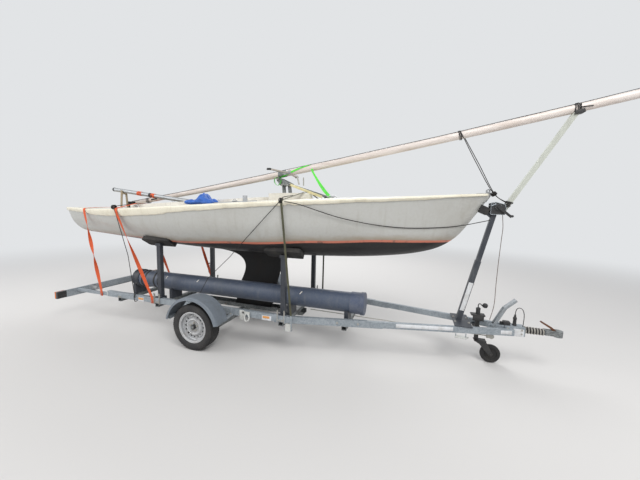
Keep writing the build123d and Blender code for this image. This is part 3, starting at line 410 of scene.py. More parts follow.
blackRope = webbing("blackRope", (34, 32, 32), (74, 68, 60), 0.004)
print("materials ready")


# Mesh helpers. Every piece's object stays at the origin, with its place in its mesh.


def declare(piece, body=mainBody, replaces=()):
    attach(piece, body)
    if replaces:
        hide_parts(*replaces)
    return piece


def finishMesh(name, bm, material, angle=35, body=mainBody, replaces=(), outward=True):
    if outward:
        bmesh.ops.recalc_face_normals(bm, faces=bm.faces)
    mesh = bpy.data.meshes.new(name)
    bm.normal_update()
    bm.to_mesh(mesh)
    bm.free()
    for one in (material if isinstance(material, list) else [material]):
        mesh.materials.append(one)
    for polygon in mesh.polygons:
        polygon.use_smooth = True
    mesh.set_sharp_from_angle(angle=math.radians(angle))
    return declare(newObject(name, mesh), body, replaces)


def addGrid(bm, rings, closeRing=True, caps=True):
    made = [[bm.verts.new(p) for p in ring] for ring in rings]
    count = len(made[0])
    for a, b in zip(made, made[1:]):
        for j in range(count if closeRing else count - 1):
            k = (j + 1) % count
            bm.faces.new((a[j], a[k], b[k], b[j]))
    if closeRing and caps:
        bm.faces.new(made[0][::-1])
        bm.faces.new(made[-1])
    return made


def distances(points):  # how far along the line each point lies
    made = [0.0]
    for a, b in zip(points, points[1:]):
        made.append(made[-1] + (b - a).length)
    return made


def heading(points, i):
    return (points[min(i + 1, len(points) - 1)] - points[max(i - 1, 0)]).normalized()


def addRibbon(bm, path, width, thickness, across, material=0):
    # a flat belt along a list of points; across is the way its width lies, one vector or one for each point
    uvLayer = bm.loops.layers.uv.get("metres") or bm.loops.layers.uv.new("metres")
    points = [Vector(p) for p in path]
    ways = across if isinstance(across, list) else [across] * len(points)
    lengths, rows = distances(points), []
    for i, p in enumerate(points):
        along, side = heading(points, i), Vector(ways[i])
        side = (side - along * side.dot(along)).normalized()
        out = along.cross(side)
        rows.append([bm.verts.new(p + side * s * width / 2 + out * t * thickness / 2)
                     for s, t in ((-1, -1), (-0.94, 1), (0.94, 1), (1, -1))])
    edge = (0, width * 0.05, width * 0.95, width)
    for i, (a, b) in enumerate(zip(rows, rows[1:])):
        for j in range(4):
            k = (j + 1) % 4
            face = bm.faces.new((a[j], a[k], b[k], b[j]))
            face.material_index = material
            for loop, (u, v) in zip(face.loops, ((j, i), (k, i), (k, i + 1), (j, i + 1))):
                loop[uvLayer].uv = (edge[u], lengths[v])
    for ring in (rows[0][::-1], rows[-1]):
        bm.faces.new(ring).material_index = material


def smoothPath(points, steps):  # a Catmull-Rom line through a few points
    full = [points[0] * 2 - points[1], *points, points[-1] * 2 - points[-2]]
    line = []
    for a, b, c, d in zip(full, full[1:], full[2:], full[3:]):
        for t in (i / steps for i in range(steps)):
            square, cube = 2 * a - 5 * b + 4 * c - d, 3 * b - a - 3 * c + d
            line.append(0.5 * (2 * b + (c - a) * t + square * t ** 2 + cube * t ** 3))
    return line + [points[-1]]


def route(places, steps):
    return smoothPath([at(*p) for p in places], steps)


def roundBar(bm, path, radius, sides=12, closed=False):
    # a round rod along points, with rings square to the path
    points = [Vector(p) for p in path]
    normal = (points[1] - points[0]).orthogonal().normalized()
    rings = []
    for i, p in enumerate(points):
        before = points[i - 1] if i or closed else points[0]
        after = points[(i + 1) % len(points)] if i < len(points) - 1 or closed else points[-1]
        along = (after - before).normalized()
        normal = (normal - along * normal.dot(along)).normalized()
        other = along.cross(normal)
        rings.append([p + (normal * math.cos(a) + other * math.sin(a)) * radius for a in angles(sides)])
    made = addGrid(bm, rings, caps=not closed)
    if closed:
        for j in range(sides):
            k = (j + 1) % sides
            bm.faces.new((made[-1][j], made[-1][k], made[0][k], made[0][j]))


def addBlock(bm, centre, size, bevel, turn=Matrix.Identity(4)):  # a block with rounded edges
    made = bmesh.ops.create_cube(bm, size=1.0)["verts"]
    matrix = Matrix.Translation(centre) @ turn @ Matrix.Diagonal((*size, 1))
    bmesh.ops.transform(bm, matrix=matrix, verts=made)
    edges = list(dict.fromkeys(e for v in made for e in v.link_edges))
    bmesh.ops.bevel(bm, geom=edges, offset=bevel, segments=2, profile=0.6, affect="EDGES",
                    clamp_overlap=True)


def addTurned(bm, centre, axis, profile, sides=24, closed=True):
    # a turned solid; profile rows are (distance along the axis, radius)
    axis = Vector(axis).normalized()
    normal = axis.orthogonal().normalized()
    other = axis.cross(normal)
    rings = [[Vector(centre) + axis * d + (normal * math.cos(a) + other * math.sin(a)) * max(r, 0.0002)
              for a in angles(sides)] for d, r in profile]
    addGrid(bm, rings, caps=closed)


def disc(low, high, radius):  # the profile of a plain round plate or pin
    return [(low, 0.0), (low, radius), (high, radius), (high, 0.0)]


# The boat's shape. Columns: x, half beam at the sheer, sheer height, half width and height of the bilge
# corner before it is rounded, height of the keel line.
hull = {
    "stations": (
        (3.338, 0.016, 2.001, 0.012, 1.976, 1.952), (3.196, 0.108, 1.990, 0.044, 1.794, 1.717),
        (3.016, 0.208, 1.977, 0.096, 1.572, 1.464), (2.754, 0.346, 1.956, 0.218, 1.408, 1.303),
        (2.250, 0.545, 1.922, 0.420, 1.305, 1.200), (1.500, 0.768, 1.882, 0.690, 1.270, 1.142),
        (0.500, 0.862, 1.828, 0.805, 1.268, 1.120), (-0.700, 0.815, 1.760, 0.735, 1.290, 1.148),
        (-2.000, 0.618, 1.704, 0.525, 1.330, 1.224), (-3.200, 0.330, 1.718, 0.250, 1.374, 1.286)),
    "bilgeRound": 0.62,
    "keelRound": 0.3,
    "crown": 0.05,
    "ringCount": 110,
    "lastRing": -2.9,
    "transomFoot": (-2.96, 1.3),
    "transomHead": (-3.09, 1.72),
    "stripeWidth": 0.026,
    # top of the stripe above the dark bottom. Columns: x, height
    "stripeTop": (
        (3.4, 1.452), (2.99, 1.448), (2.18, 1.445), (1.55, 1.417), (0.6, 1.362), (-0.55, 1.305), (-1.6, 1.32),
        (-2.6, 1.327)),
    # depth of the pale band under the gunwale, partly painted light: it follows where the rounded gunwale is
    # lit. Columns: x, depth
    "bandDepth": (
        (3.2, 0.030), (2.2, 0.045), (1.3, 0.055), (0.5, 0.062), (-0.1, 0.075), (-0.45, 0.085), (-0.6, 0.105),
        (-1.5, 0.110), (-2.1, 0.095), (-2.4, 0.070), (-3.1, 0.055)),
}


def station(x, column):  # smooth cubic through the stations
    rows = hull["stations"]
    i = next(i for i in range(len(rows) - 1) if rows[i + 1][0] <= x or i == len(rows) - 2)
    slopes = []
    for k in (i, i + 1):
        ahead, behind = rows[max(k - 1, 0)], rows[min(k + 1, len(rows) - 1)]
        slopes.append((behind[column] - ahead[column]) / (behind[0] - ahead[0]))
    step = rows[i + 1][0] - rows[i][0]
    t = (x - rows[i][0]) / step
    return ((2 * t**3 - 3 * t**2 + 1) * rows[i][column] + (t**3 - 2 * t**2 + t) * step * slopes[0]
            + (3 * t**2 - 2 * t**3) * rows[i + 1][column] + (t**3 - t**2) * step * slopes[1])


def filletPoints(a, corner, c, radius, count):  # the arc that rounds a corner
    before, after = (a - corner).normalized(), (c - corner).normalized()
    half = before.angle(after) / 2
    start, end = corner + before * radius / math.tan(half), corner + after * radius / math.tan(half)
    middle = corner + (before + after).normalized() * radius / math.sin(half)
    first, last = (start - middle).normalized(), (end - middle).normalized()
    return [middle + first.slerp(last, i / count) * radius for i in range(count + 1)]


def halfSection(x):  # (y, z) from the keel line up to the sheer, port side
    beam, sheer, cornerY, cornerZ, keelZ = (station(x, k) for k in range(1, 6))
    keel, corner, top = Vector((0, keelZ, 0)), Vector((cornerY, cornerZ, 0)), Vector((beam, sheer, 0))
    mirrored = Vector((-cornerY, cornerZ, 0))
    floor, side = (corner - keel).length, (top - corner).length
    floorAngle = math.atan2(cornerZ - keelZ, cornerY)
    sideAngle = math.atan2(sheer - cornerZ, beam - cornerY)
    bilgeRadius = hull["bilgeRound"] * min(floor, side) / math.tan((sideAngle - floorAngle) / 2)
    bilge = filletPoints(keel, corner, top, bilgeRadius, 14)
    foot = filletPoints(mirrored, keel, corner, hull["keelRound"] * floor / math.tan(floorAngle), 8)[4:]
    points = foot + [foot[-1].lerp(bilge[0], s) for s in (0.33, 0.67)]
    points += bilge + [bilge[-1].lerp(top, s / 6) for s in range(1, 7)]
    return [(p.x, p.y) for p in points]


def transomX(z):
    (x0, z0), (x1, z1) = hull["transomFoot"], hull["transomHead"]
    return x0 + (z - z0) * (x1 - x0) / (z1 - z0)


def hullRings():
    top = hull["stations"][0][0]
    count = hull["ringCount"]
    places = [top + (hull["lastRing"] - top) * (i / count) ** 1.12 for i in range(count + 1)]
    rings = [[(x, y, z) for y, z in halfSection(x)] for x in places]
    last = []
    for j in range(len(rings[0])):
        x = -3.0
        for _ in range(5):
            y, z = halfSection(x)[j]
            x = transomX(z)
        last.append((x, y, z))
    return rings + [last]


rings = hullRings()


def makeHull():
    bm = bmesh.new()
    layer = bm.verts.layers.float.new("paintHeight")
    grid = []
    for ring in rings:
        whole = [(x, -y, z) for x, y, z in reversed(ring)] + list(ring[1:])
        row = []
        for x, y, z in whole:
            vert = bm.verts.new(at(x, y, z))
            vert[layer] = z - between(hull["stripeTop"], x)
            row.append(vert)
        grid.append(row)
    for a, b in zip(grid, grid[1:]):
        for j in range(len(a) - 1):
            bm.faces.new((a[j], a[j + 1], b[j + 1], b[j]))
    for row in (grid[0], grid[-1]):
        half = len(row) // 2
        for j in range(half):
            quad = (row[j], row[j + 1], row[-j - 2], row[-j - 1])
            if j == half - 1:
                quad = quad[:2] + quad[3:]
            bm.faces.new(quad)
    finishMesh("hullSkin", bm, makeHullPaint(), replaces=("hull",), angle=32)


def makeHullPaint():
    f = Finish("hullPaint", coat=0.18)
    t = f.t
    uneven = t.times(t.math("SUBTRACT", t.noise(f.place, 26, 5, 0.7), 0.5), 0.006)
    height = t.node("ShaderNodeAttribute", attribute_name="paintHeight").outputs["Fac"]
    ragged = t.plus(height, uneven)
    # painted shade: the topside grey is the pale gelcoat darkened, greyer than the deck
    shadedTopside = f.grime(srgb(186, 186, 181), srgb(146, 138, 122), 0.3, 0.2, 1.6, 0.3)
    splashes = t.times(t.noise(t.stretched(f.place, (1.2, 1.2, 5)), 5, 6, 0.65), 0.09)
    nearWater = t.ramp(t.plus(ragged, splashes), 0.13, 0.02)
    stained = t.mix(t.times(nearWater, 0.75), shadedTopside["Color"], srgb(152, 132, 104))
    bottom = f.grime(srgb(17, 17, 19), srgb(64, 58, 52), 0.55, 0.2, 2.4, 0.7)
    fade = t.ramp(t.parts(f.place)[0], axleX - 1.9, axleX - 0.9)
    stripe = t.mix(t.plus(0.25, t.times(fade, 0.75)), srgb(120, 96, 84), srgb(206, 120, 96))
    scuffed = t.mix(t.ramp(t.noise(f.place, 9, 6, 0.7), 0.52, 0.72), stripe, srgb(96, 78, 68))
    aboveStripe = t.ramp(ragged, -0.0015, 0.0015)
    aboveBottom = t.ramp(ragged, -hull["stripeWidth"] - 0.002, -hull["stripeWidth"] + 0.002)
    color = t.mix(aboveStripe, t.mix(aboveBottom, bottom["Color"], scuffed), stained)
    roughness = t.plus(t.times(aboveBottom, -0.36), t.math("MAXIMUM", bottom["Roughness"], 0.66))
    swell = t.plus(t.noise(f.place, 3.2, 3, 0.5), t.times(t.noise(f.place, 120, 3, 0.6), 0.05))
    return f.done(color, roughness, swell, 0.004, 0.25)


makeHull()


# Deck: rings from the well's rim out to the sheer
deck = {
    "wellAft": -1.750, "wellFront": 0.680, "wellAftHalf": 0.330, "wellFrontHalf": 0.520, "wellCorner": 0.120,
    "centre": -0.45, "steps": 12,
}


def deckHeight(x, y):
    half = max(station(x, 1), 0.01)
    share = min(abs(y) / half, 1)
    return station(x, 2) + hull["crown"] * half * (1 - share * share)


def wellOutline():
    corners = [(deck["wellAft"], -deck["wellAftHalf"]), (deck["wellFront"], -deck["wellFrontHalf"]),
               (deck["wellFront"], deck["wellFrontHalf"]), (deck["wellAft"], deck["wellAftHalf"])]
    line = []
    for i, corner in enumerate(corners):
        a, c = Vector((*corners[i - 1], 0)), Vector((*corners[(i + 1) % 4], 0))
        line += [(p.x, p.y) for p in filletPoints(a, Vector((*corner, 0)), c, deck["wellCorner"], 10)]
    return line


def sheerOutline():
    edge = [ring[-1] for ring in rings]
    return [(x, -y) for x, y, z in edge] + [(x, y) for x, y, z in reversed(edge)]


def reachOf(outline, angle):  # distance from the deck's centre to a closed outline along an angle
    direction = Vector((math.cos(angle), math.sin(angle)))
    best = 0.0
    for (x0, y0), (x1, y1) in zip(outline, outline[1:] + outline[:1]):
        a = Vector((x0 - deck["centre"], y0))
        b = Vector((x1 - deck["centre"], y1)) - a
        d = direction.x * b.y - direction.y * b.x
        if abs(d) < 1e-12:
            continue
        reach = (a.x * b.y - a.y * b.x) / d
        share = (a.x * direction.y - a.y * direction.x) / d
        if reach > 0 and -1e-6 <= share <= 1 + 1e-6:
            best = max(best, reach)
    return best


def makeDeck():
    well, sheer = wellOutline(), sheerOutline()
    around = sorted({round(math.atan2(y, x - deck["centre"]), 4) for x, y in well + sheer})
    spans = [(angle, reachOf(well, angle), reachOf(sheer, angle)) for angle in around]
    rows = []
    for k in range(deck["steps"] + 1):
        row = []
        for angle, inner, outer in spans:
            reach = inner + (outer - inner) * (k / deck["steps"])
            x, y = deck["centre"] + math.cos(angle) * reach, math.sin(angle) * reach
            row.append(at(x, y, deckHeight(x, y)))
        rows.append(row)
    lip = [p - Vector((0, 0, 0.03)) for p in rows[0]]
    bm = bmesh.new()
    addGrid(bm, [lip] + rows, caps=False)
    bmesh.ops.recalc_face_normals(bm, faces=bm.faces)
    if sum(f.normal.z for f in bm.faces) < 0:
        bmesh.ops.reverse_faces(bm, faces=bm.faces)
    paint = celledPaint("deckPaint", (226, 223, 210), (150, 140, 118), 0.5, 0.05, 2.2, 0.42, 0.1,
                        260, 0.0006, 0.4)
    finishMesh("deckSkin", bm, paint, replaces=("deck",), outward=False)


makeDeck()


def makeStrake():  # the pale rubbing band along the gunwale; its changing depth and wavy lower edge are partly painted light, following the lit part of the rounded gunwale
    bm = bmesh.new()
    stand, front, aft, steps = 0.016, 3.318, transomX(1.715) + 0.004, 240
    for side in (-1, 1):
        sections = []
        for x in (front + (aft - front) * i / steps for i in range(steps + 1)):
            half = halfSection(max(x, -3.09))
            (yTop, zTop), (yLow, zLow) = half[-1], half[-4]
            down = Vector((yLow - yTop, zLow - zTop)).normalized()
            out = Vector((-down.y, down.x)) * -1
            if out.x < 0:
                out = -out
            wave = 0.004 * math.sin(x * 9.0) * math.sin(x * 3.7 + 1)
            depth = between(hull["bandDepth"], x) + wave + 0.0015 * math.sin(x * 41)
            depth -= 0.018 * math.exp(-((x - 1.2) / 0.035) ** 2)
            row = []
            for d, o in ((0.0, -0.002), (0.001, stand * 0.5), (0.008, stand * 0.95), (0.02, stand * 1.1),
                         (depth * 0.5, stand), (depth * 0.82, stand * 0.8), (depth * 0.96, stand * 0.5),
                         (depth, 0.001), (depth, -0.004)):
                p = Vector((yTop, zTop)) + down * d + out * o
                row.append(at(x, side * p.x, p.y))
            sections.append(row)
        addGrid(bm, sections)
    finishMesh("gunwaleBand", bm, creamGelcoat, 60, replaces=("gunwale_strake",))


makeStrake()
print("hull, deck and band made")


# Finishes for the pieces that keep their drawn shape

sparAlloy = grimyPaint("sparAlloy", (196, 188, 182), (138, 122, 112), 0.5, 0.1, 3.0, 0.42, metallic=0.3)
whiteGelcoat = grimyPaint("whiteGelcoat", (228, 224, 214), (160, 148, 130), 0.4, 0.25, 5.0, 0.36,
                          (240, 238, 232), 0.3, coat=0.15)
plywood = grimyPaint("plywood", (164, 150, 126), (96, 80, 60), 0.6, 0.3, 6.0, 0.7,
                     (120, 96, 70), 0.5, 0.002)
armAlloy = grimyPaint("armAlloy", (188, 191, 181), (140, 138, 128), 0.3, 0.25, 2.0, 0.55, rough=0.0)
postSteel = grimyPaint("postSteel", (46, 50, 58), (96, 98, 100), 0.4, 0.3, 5.0, 0.42, (140, 142, 146), 0.5)
leverSteel = grimyPaint("leverSteel", (150, 156, 160), (96, 86, 76), 0.45, 0.3, 12.0, 0.5, (160, 160, 158),
                        0.4, 0.002, metallic=0.3)


def makeCapPaint():  # the pipe's caps: the front one is the pipe's colour, the aft one is dark
    f = Finish("capPaint")
    front = f.grime(srgb(68, 78, 100), srgb(128, 130, 132), 0.5, 0.3, 5.0, 0.45)
    aft = f.grime(srgb(44, 48, 56), srgb(92, 92, 90), 0.5, 0.25, 5.0, 0.5)
    share = f.t.ramp(f.t.parts(f.place)[0], axleX - 0.1, axleX + 0.1)
    color, normal = f.edge(f.t.mix(share, aft["Color"], front["Color"]), srgb(150, 156, 164), 0.004, 0.35)
    return f.done(color, front["Roughness"], f.t.noise(f.place, 120, 3, 0.6), 0.0004, 0.35, normal)


def makeLampPlastic():  # ribbed red and amber lenses in a dark housing
    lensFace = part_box("rear_lamps")[0].x
    f = Finish("lampPlastic", coat=0.4)
    parts = f.t.parts(f.place)
    amber = f.t.ramp(f.t.math("ABSOLUTE", parts[1]), 0.868, 0.872)
    ribs = f.t.math("SINE", f.t.times(parts[1], 1100))
    lens = f.t.mix(amber, srgb(150, 22, 20), srgb(214, 112, 22))
    grime = f.grime(lens, srgb(96, 70, 60), 0.35, 0.2, 9.0, 0.22)
    housing = f.t.ramp(parts[0], lensFace + 0.024, lensFace + 0.026)
    color = f.t.mix(housing, grime["Color"], srgb(32, 32, 34))
    color, normal = f.edge(color, srgb(60, 40, 38), 0.006, 0.4)
    return f.done(color, grime["Roughness"], ribs, 0.0008, 0.5, normal)


for finish, names in (
    (deckGelcoat, "cockpit_tub"), (whiteGelcoat, "cockpit_coaming"), (keelPaint, "keel_fin"),
    (stainless, "stem_fitting rudder_gudgeons chainplates"), (sparAlloy, "spreaders"),
    (bareAlloy, "boom traveller_beam"), (plywood, "boom_crutch"), (armAlloy, "mast_arm"),
    (oldSteel, "mast_trestle cross_members keel_tray axle axle_brackets hub_right hub_left coupling_head"),
    (darkRubber, "masthead_chock keel_pad swivel_pads bow_stop jockey_wheel"),
    (steel, "side_rails drawbar_arms mudguard_arms light_slides light_board coupling_housing"),
    (wheelSilver, "wheel_disc_right wheel_disc_left"), (postSteel, "support_posts pipe_saddles winch_post"),
    (pipePlastic, "storage_pipe"), (makeCapPaint(), "pipe_caps"), (makeLampPlastic(), "rear_lamps"),
    (blackSteel, "winch jockey_clamp jockey_fork"), (rustySteel, "coupling_handle"),
    (guardSteel, "mudguard_right mudguard_left"), (blackPlastic, "cable_plug"),
):
    for name in names.split():
        nodes[name].data.materials.clear()
        nodes[name].data.materials.append(finish)
print("kept pieces painted")


# Mast: an oval extrusion with a sail groove on top, hollow at its foot

mast = {
    "tail": -2.100, "length": 8.0, "depth": 0.088, "width": 0.068,
    "supports": ((-1.886, 1.831), (4.085, 2.880)), "sag": 0.038,
    "spreaderX": 0.83, "spreaderTip": (0.77, 0.42),
    "shares": ((6.0, 1.0), (1.3, 1.0), (0.4, 0.97), (-0.5, 0.90), (-1.3, 0.82), (-2.1, 0.72)),
    "grooveWidth": 0.007, "grooveDepth": 0.012, "wall": 0.003,
}
(lowX, lowZ), (highX, highZ) = mast["supports"]
mastSlope = math.atan2(highZ - lowZ, highX - lowX)
mastFoot = mast["tail"] + mast["length"] * math.cos(mastSlope)


def mastHeight(x):
    share = (x - lowX) / (highX - lowX)
    return lowZ + share * (highZ - lowZ) - 4 * mast["sag"] * share * (1 - share)


def mastFrame(x):  # the mast's axis point, its direction and its upward normal
    slope = (mastHeight(x + 0.01) - mastHeight(x - 0.01)) / 0.02
    along = Vector((1, 0, slope)).normalized()
    return Vector((x, 0, mastHeight(x))), along, Vector((-along.z, 0, along.x))


def alongMast(x):  # the turn that lays a block's length along the mast
    along = mastFrame(x)[1]
    return Matrix.Rotation(-math.atan2(along.z, along.x), 4, "Y")


def mastRing(x, inset=0.0, groove=True):
    centre, along, up = mastFrame(x)
    share = between(mast["shares"], x)
    w, d = mast["width"] / 2 * share - inset, mast["depth"] / 2 * share - inset
    half = mast["grooveWidth"] / 2
    first = math.asin(half / w)
    around = (first + (2 * math.pi - 2 * first) * i / 44 for i in range(45))
    ring = [(w * math.sin(a), d * math.cos(a)) for a in around]
    low = d - mast["grooveDepth"]
    if groove:
        ring += [(-half, low + 0.004), (-half * 2, low), (0, low - 0.004), (half * 2, low),
                 (half, low + 0.004)]
    else:
        ring += [(0, d)] * 5
    return [at(*(centre + Vector((0, 1, 0)) * y + up * z)) for y, z in ring]


def makeMast():
    bm = bmesh.new()
    places = [mast["tail"] + (mastFoot - mast["tail"]) * i / 90 for i in range(91)]
    outer = [mastRing(x) for x in places]
    sealed = [mastRing(x, mast["wall"]) for x in (mastFoot, mastFoot - 0.12)]
    grid = addGrid(bm, outer + sealed)
    for face in bm.faces:
        if all(v in grid[-1] or v in grid[-2] for v in face.verts):
            face.material_index = 1
    finishMesh("mastTube", bm, [makeSparPaint(), blackPlastic], 30, replaces=("mast",))


def makeSparPaint():
    f = Finish("sparPaint", metallic=0.05)
    t = f.t
    # painted shade: the pinkish-brown blotches of cloud and the spots are dappled shade on the pale spar
    cloud = t.ramp(t.noise(t.stretched(f.place, (0.6, 7, 7)), 3.5, 6, 0.65), 0.35, 0.72)
    fine = t.ramp(t.noise(t.stretched(f.place, (2, 40, 40)), 8, 4, 0.6), 0.5, 0.8)
    base = t.mix(cloud, srgb(222, 213, 206), srgb(201, 188, 178))
    streaked = t.mix(t.times(fine, 0.3), base, srgb(150, 136, 126))
    shadeSpots = t.ramp(t.noise(f.place, 55, 5, 0.7), 0.62, 0.75)
    color = t.mix(t.times(shadeSpots, 0.25), streaked, srgb(130, 116, 106))
    height = t.noise(t.stretched(f.place, (1, 8, 8)), 14, 3, 0.5)
    return f.done(color, t.plus(0.38, t.times(cloud, 0.22)), height, 0.0003, 0.2)


makeMast()


def offMast(x, aroundDegrees, out):  # a point near the mast's skin; 0 is on top, 90 to starboard
    centre, along, up = mastFrame(x)
    share = between(mast["shares"], x)
    a = math.radians(aroundDegrees)
    w, d = mast["width"] / 2 * share + out, mast["depth"] / 2 * share + out
    return at(*(centre + Vector((0, -1, 0)) * math.sin(a) * w + up * math.cos(a) * d))


def makeMastDetails():  # halyards along the mast, wraps of line, sheave boxes and the spreaders' brackets
    bm = bmesh.new()
    for around, start, end, radius in ((22, -2.05, 5.5, 0.003), (-24, -1.9, 4.6, 0.0025),
                                       (-66, -2.0, 5.6, 0.003)):
        path = []
        for i in range(90):
            x = start + (end - start) * i / 89
            wave = 0.0016 * (1 + math.sin(x * 5.1 + around))
            path.append(offMast(x, around + 6 * math.sin(x * 1.7 + around), radius + wave))
        roundBar(bm, path, radius, 6)
    pitch = 0.01564  # how far the wraps move on in a turn
    for x, turns, radius in ((-1.72, 4, 0.003), (2.972, 2, 0.0045), (4.070, 2, 0.0045), (5.05, 3, 0.003)):
        path = [offMast(x + pitch * i / 24, 360 * i / 24, radius + 0.004) for i in range(24 * turns)]
        roundBar(bm, path, radius, 6)
    finishMesh("mastLines", bm, blackRope, angle=60)

    bm = bmesh.new()
    for x in (5.28, -1.55):
        y = 0.001 - mast["width"] / 2 * between(mast["shares"], x)
        addBlock(bm, at(x, y, mastHeight(x)), (0.13, 0.004, 0.022), 0.0018, alongMast(x))
    finishMesh("sheaveSlots", bm, blackPlastic, angle=40)

    bm = bmesh.new()
    x = mast["spreaderX"]
    for side in (-1, 1):
        addBlock(bm, at(x, side * 0.036, mastHeight(x)), (0.11, 0.008, 0.05), 0.003, alongMast(x))
    for x in (-2.094, mastFoot - 0.06):
        stands = ((0.0, 0.0015), (0.02, 0.0025), (0.045, 0.0015))
        addGrid(bm, [mastRing(x + d, -stand, False) for d, stand in stands])
    bmesh.ops.remove_doubles(bm, verts=bm.verts, dist=0.00001)
    finishMesh("mastBands", bm, bareAlloy, angle=40)

    bm = bmesh.new()
    # a dark collar at the spreaders' root; its dark grey is partly painted shade where the near spreader
    # covers the mast
    stands = ((0.688, 0.0005), (0.692, 0.004), (0.806, 0.004), (0.810, 0.0005))
    addGrid(bm, [mastRing(x, -stand, False) for x, stand in stands])
    bmesh.ops.remove_doubles(bm, verts=bm.verts, dist=0.00001)
    finishMesh("spreaderRoot", bm, oldSteel, angle=40)


def makeMastSaddle():  # a shallow bracket under the mast, lined with rubber and lashed down
    centre, along, up = mastFrame(highX)
    turn = alongMast(highX)
    bm = bmesh.new()
    addBlock(bm, at(*(centre - up * 0.053)), (0.092, 0.084, 0.012), 0.003, turn)
    for side in (-1, 1):
        addBlock(bm, at(*(centre - up * 0.040 + Vector((0, side * 0.039, 0)))),
                 (0.084, 0.007, 0.036), 0.003, turn)
    tail = [offMast(4.10 + 0.012 * i, 92 + 2 * i, 0.005) for i in range(9)]
    roundBar(bm, tail, 0.005, 8)
    finishMesh("mastSaddle", bm, blackPlastic, replaces=("mast_cradle",), angle=45)


makeMastDetails()
makeMastSaddle()


def makeSpreaderCaps():  # caps and short cross pins on the spreaders' ends
    bm = bmesh.new()
    z = mastHeight(mast["spreaderX"])
    tipX, reach = mast["spreaderTip"]
    for side in (-1, 1):
        tip = at(tipX, side * (mast["width"] / 2 + reach), z - 0.006)
        addBlock(bm, tip, (0.05, 0.03, 0.024), 0.006)
        addTurned(bm, tip + Vector((0, side * 0.008, -0.004)), (1, 0, 0),
                  [(-0.03, 0.004), (-0.024, 0.011), (0.024, 0.011), (0.03, 0.004)], 14)
    finishMesh("spreaderCaps", bm, blackPlastic, angle=40)


makeSpreaderCaps()
print("mast made")


# Lashings: flat belts over the boat with their twists, a ratchet on each long one

belt = {
    "width": 0.046, "thickness": 0.0026, "oliveWidth": 0.026, "railSide": 0.6535, "railTop": 0.472,
    # x at the gunwale and at the rail
    "aft": (-2.39, -1.970), "middle": (-1.49, -0.975), "olive": (1.125, 1.176),
}


def twistedLeg(bm, top, foot, width, turns, material=0):
    # a belt leg whose width turns about its own line
    count = 36
    top, foot = Vector(top), Vector(foot)
    way = (foot - top).normalized()
    flat = (Vector((1, 0, 0)) - way * way.x).normalized()
    other = way.cross(flat)
    path, ways = [], []
    for i in range(count + 1):
        share = i / count
        a = math.pi * turns * eased(share)
        path.append(at(*top.lerp(foot, share)))
        ways.append(flat * math.cos(a) + other * math.sin(a))
    addRibbon(bm, path, width, belt["thickness"], ways, material)


def overDeck(bm, x, width, rise, material=0):
    # the run across the boat, from gunwale to gunwale
    edgeY, edgeZ = station(x, 1) + 0.021, station(x, 2) + 0.003
    points = [(-edgeY, edgeZ - 0.055), (-edgeY, edgeZ - 0.01), (-edgeY + 0.012, edgeZ + 0.004)]
    points += [(y, edgeZ + h) for y, h in rise]
    points += [(edgeY - 0.012, edgeZ + 0.004), (edgeY, edgeZ - 0.01), (edgeY, edgeZ - 0.055)]
    fine = []
    for (y0, z0), (y1, z1) in zip(points, points[1:]):
        steps = max(1, int(math.hypot(y1 - y0, z1 - z0) / 0.06))
        fine += [(y0 + (y1 - y0) * i / steps, z0 + (z1 - z0) * i / steps) for i in range(steps)]
    fine.append(points[-1])
    addRibbon(bm, [at(x, y, z) for y, z in fine], width, belt["thickness"], (1, 0, 0), material)
    return edgeY, edgeZ - 0.05


def addLashing(bm, gunwaleX, railX, width, rise, turns, material=0):
    edgeY, edgeZ = overDeck(bm, gunwaleX, width, rise, material)
    for side in (-1, 1):
        y = side * belt["railSide"]
        twistedLeg(bm, (gunwaleX, side * edgeY, edgeZ), (railX, y, belt["railTop"]), width, turns, material)
        addRibbon(bm, [at(railX, y, 0.474), at(railX, y, 0.43), at(railX, y, 0.386),
                       at(railX, side * 0.645, 0.378)], width, belt["thickness"], (1, 0, 0), material)


def makeLashings():
    bm = bmesh.new()
    addLashing(bm, *belt["middle"], belt["width"], ((-0.40, 0.080), (0.40, 0.080)), 1)
    addLashing(bm, *belt["aft"], belt["width"], ((-0.33, 0.020), (0, 0.031), (0.33, 0.020)), 2)
    addLashing(bm, *belt["olive"], belt["oliveWidth"], ((-0.13, 0.135), (0.13, 0.135)), 0, 1)
    finishMesh("lashingStraps", bm, [orangeWebbing, oliveWebbing], 50, replaces=("lashing_straps",))


makeLashings()


def addRatchet(bm, place, way, out):
    # side plates, a slotted drum and a handle, along a belt's line
    way = Vector(way).normalized()
    out = Vector(out)
    out = (out - way * out.dot(way)).normalized()
    wide = way.cross(out)
    turn = Matrix((wide, way, out)).transposed().to_4x4()
    centre = at(*place) + out * 0.018
    for s in (-1, 1):
        addBlock(bm, centre + wide * s * 0.027, (0.003, 0.16, 0.036), 0.001, turn)
        addBlock(bm, centre + wide * s * 0.031 + out * 0.02 + way * 0.04, (0.003, 0.15, 0.03), 0.001, turn)
        addTurned(bm, centre + wide * s * 0.034 - way * 0.03, wide, disc(-0.002, 0.002, 0.021), 18)
    addTurned(bm, centre - way * 0.03, wide, disc(-0.036, 0.036, 0.009), 14)
    addTurned(bm, centre + way * 0.07, wide, disc(-0.03, 0.03, 0.006), 12)
    addBlock(bm, centre + out * 0.03 + way * 0.115, (0.066, 0.03, 0.02), 0.006, turn)


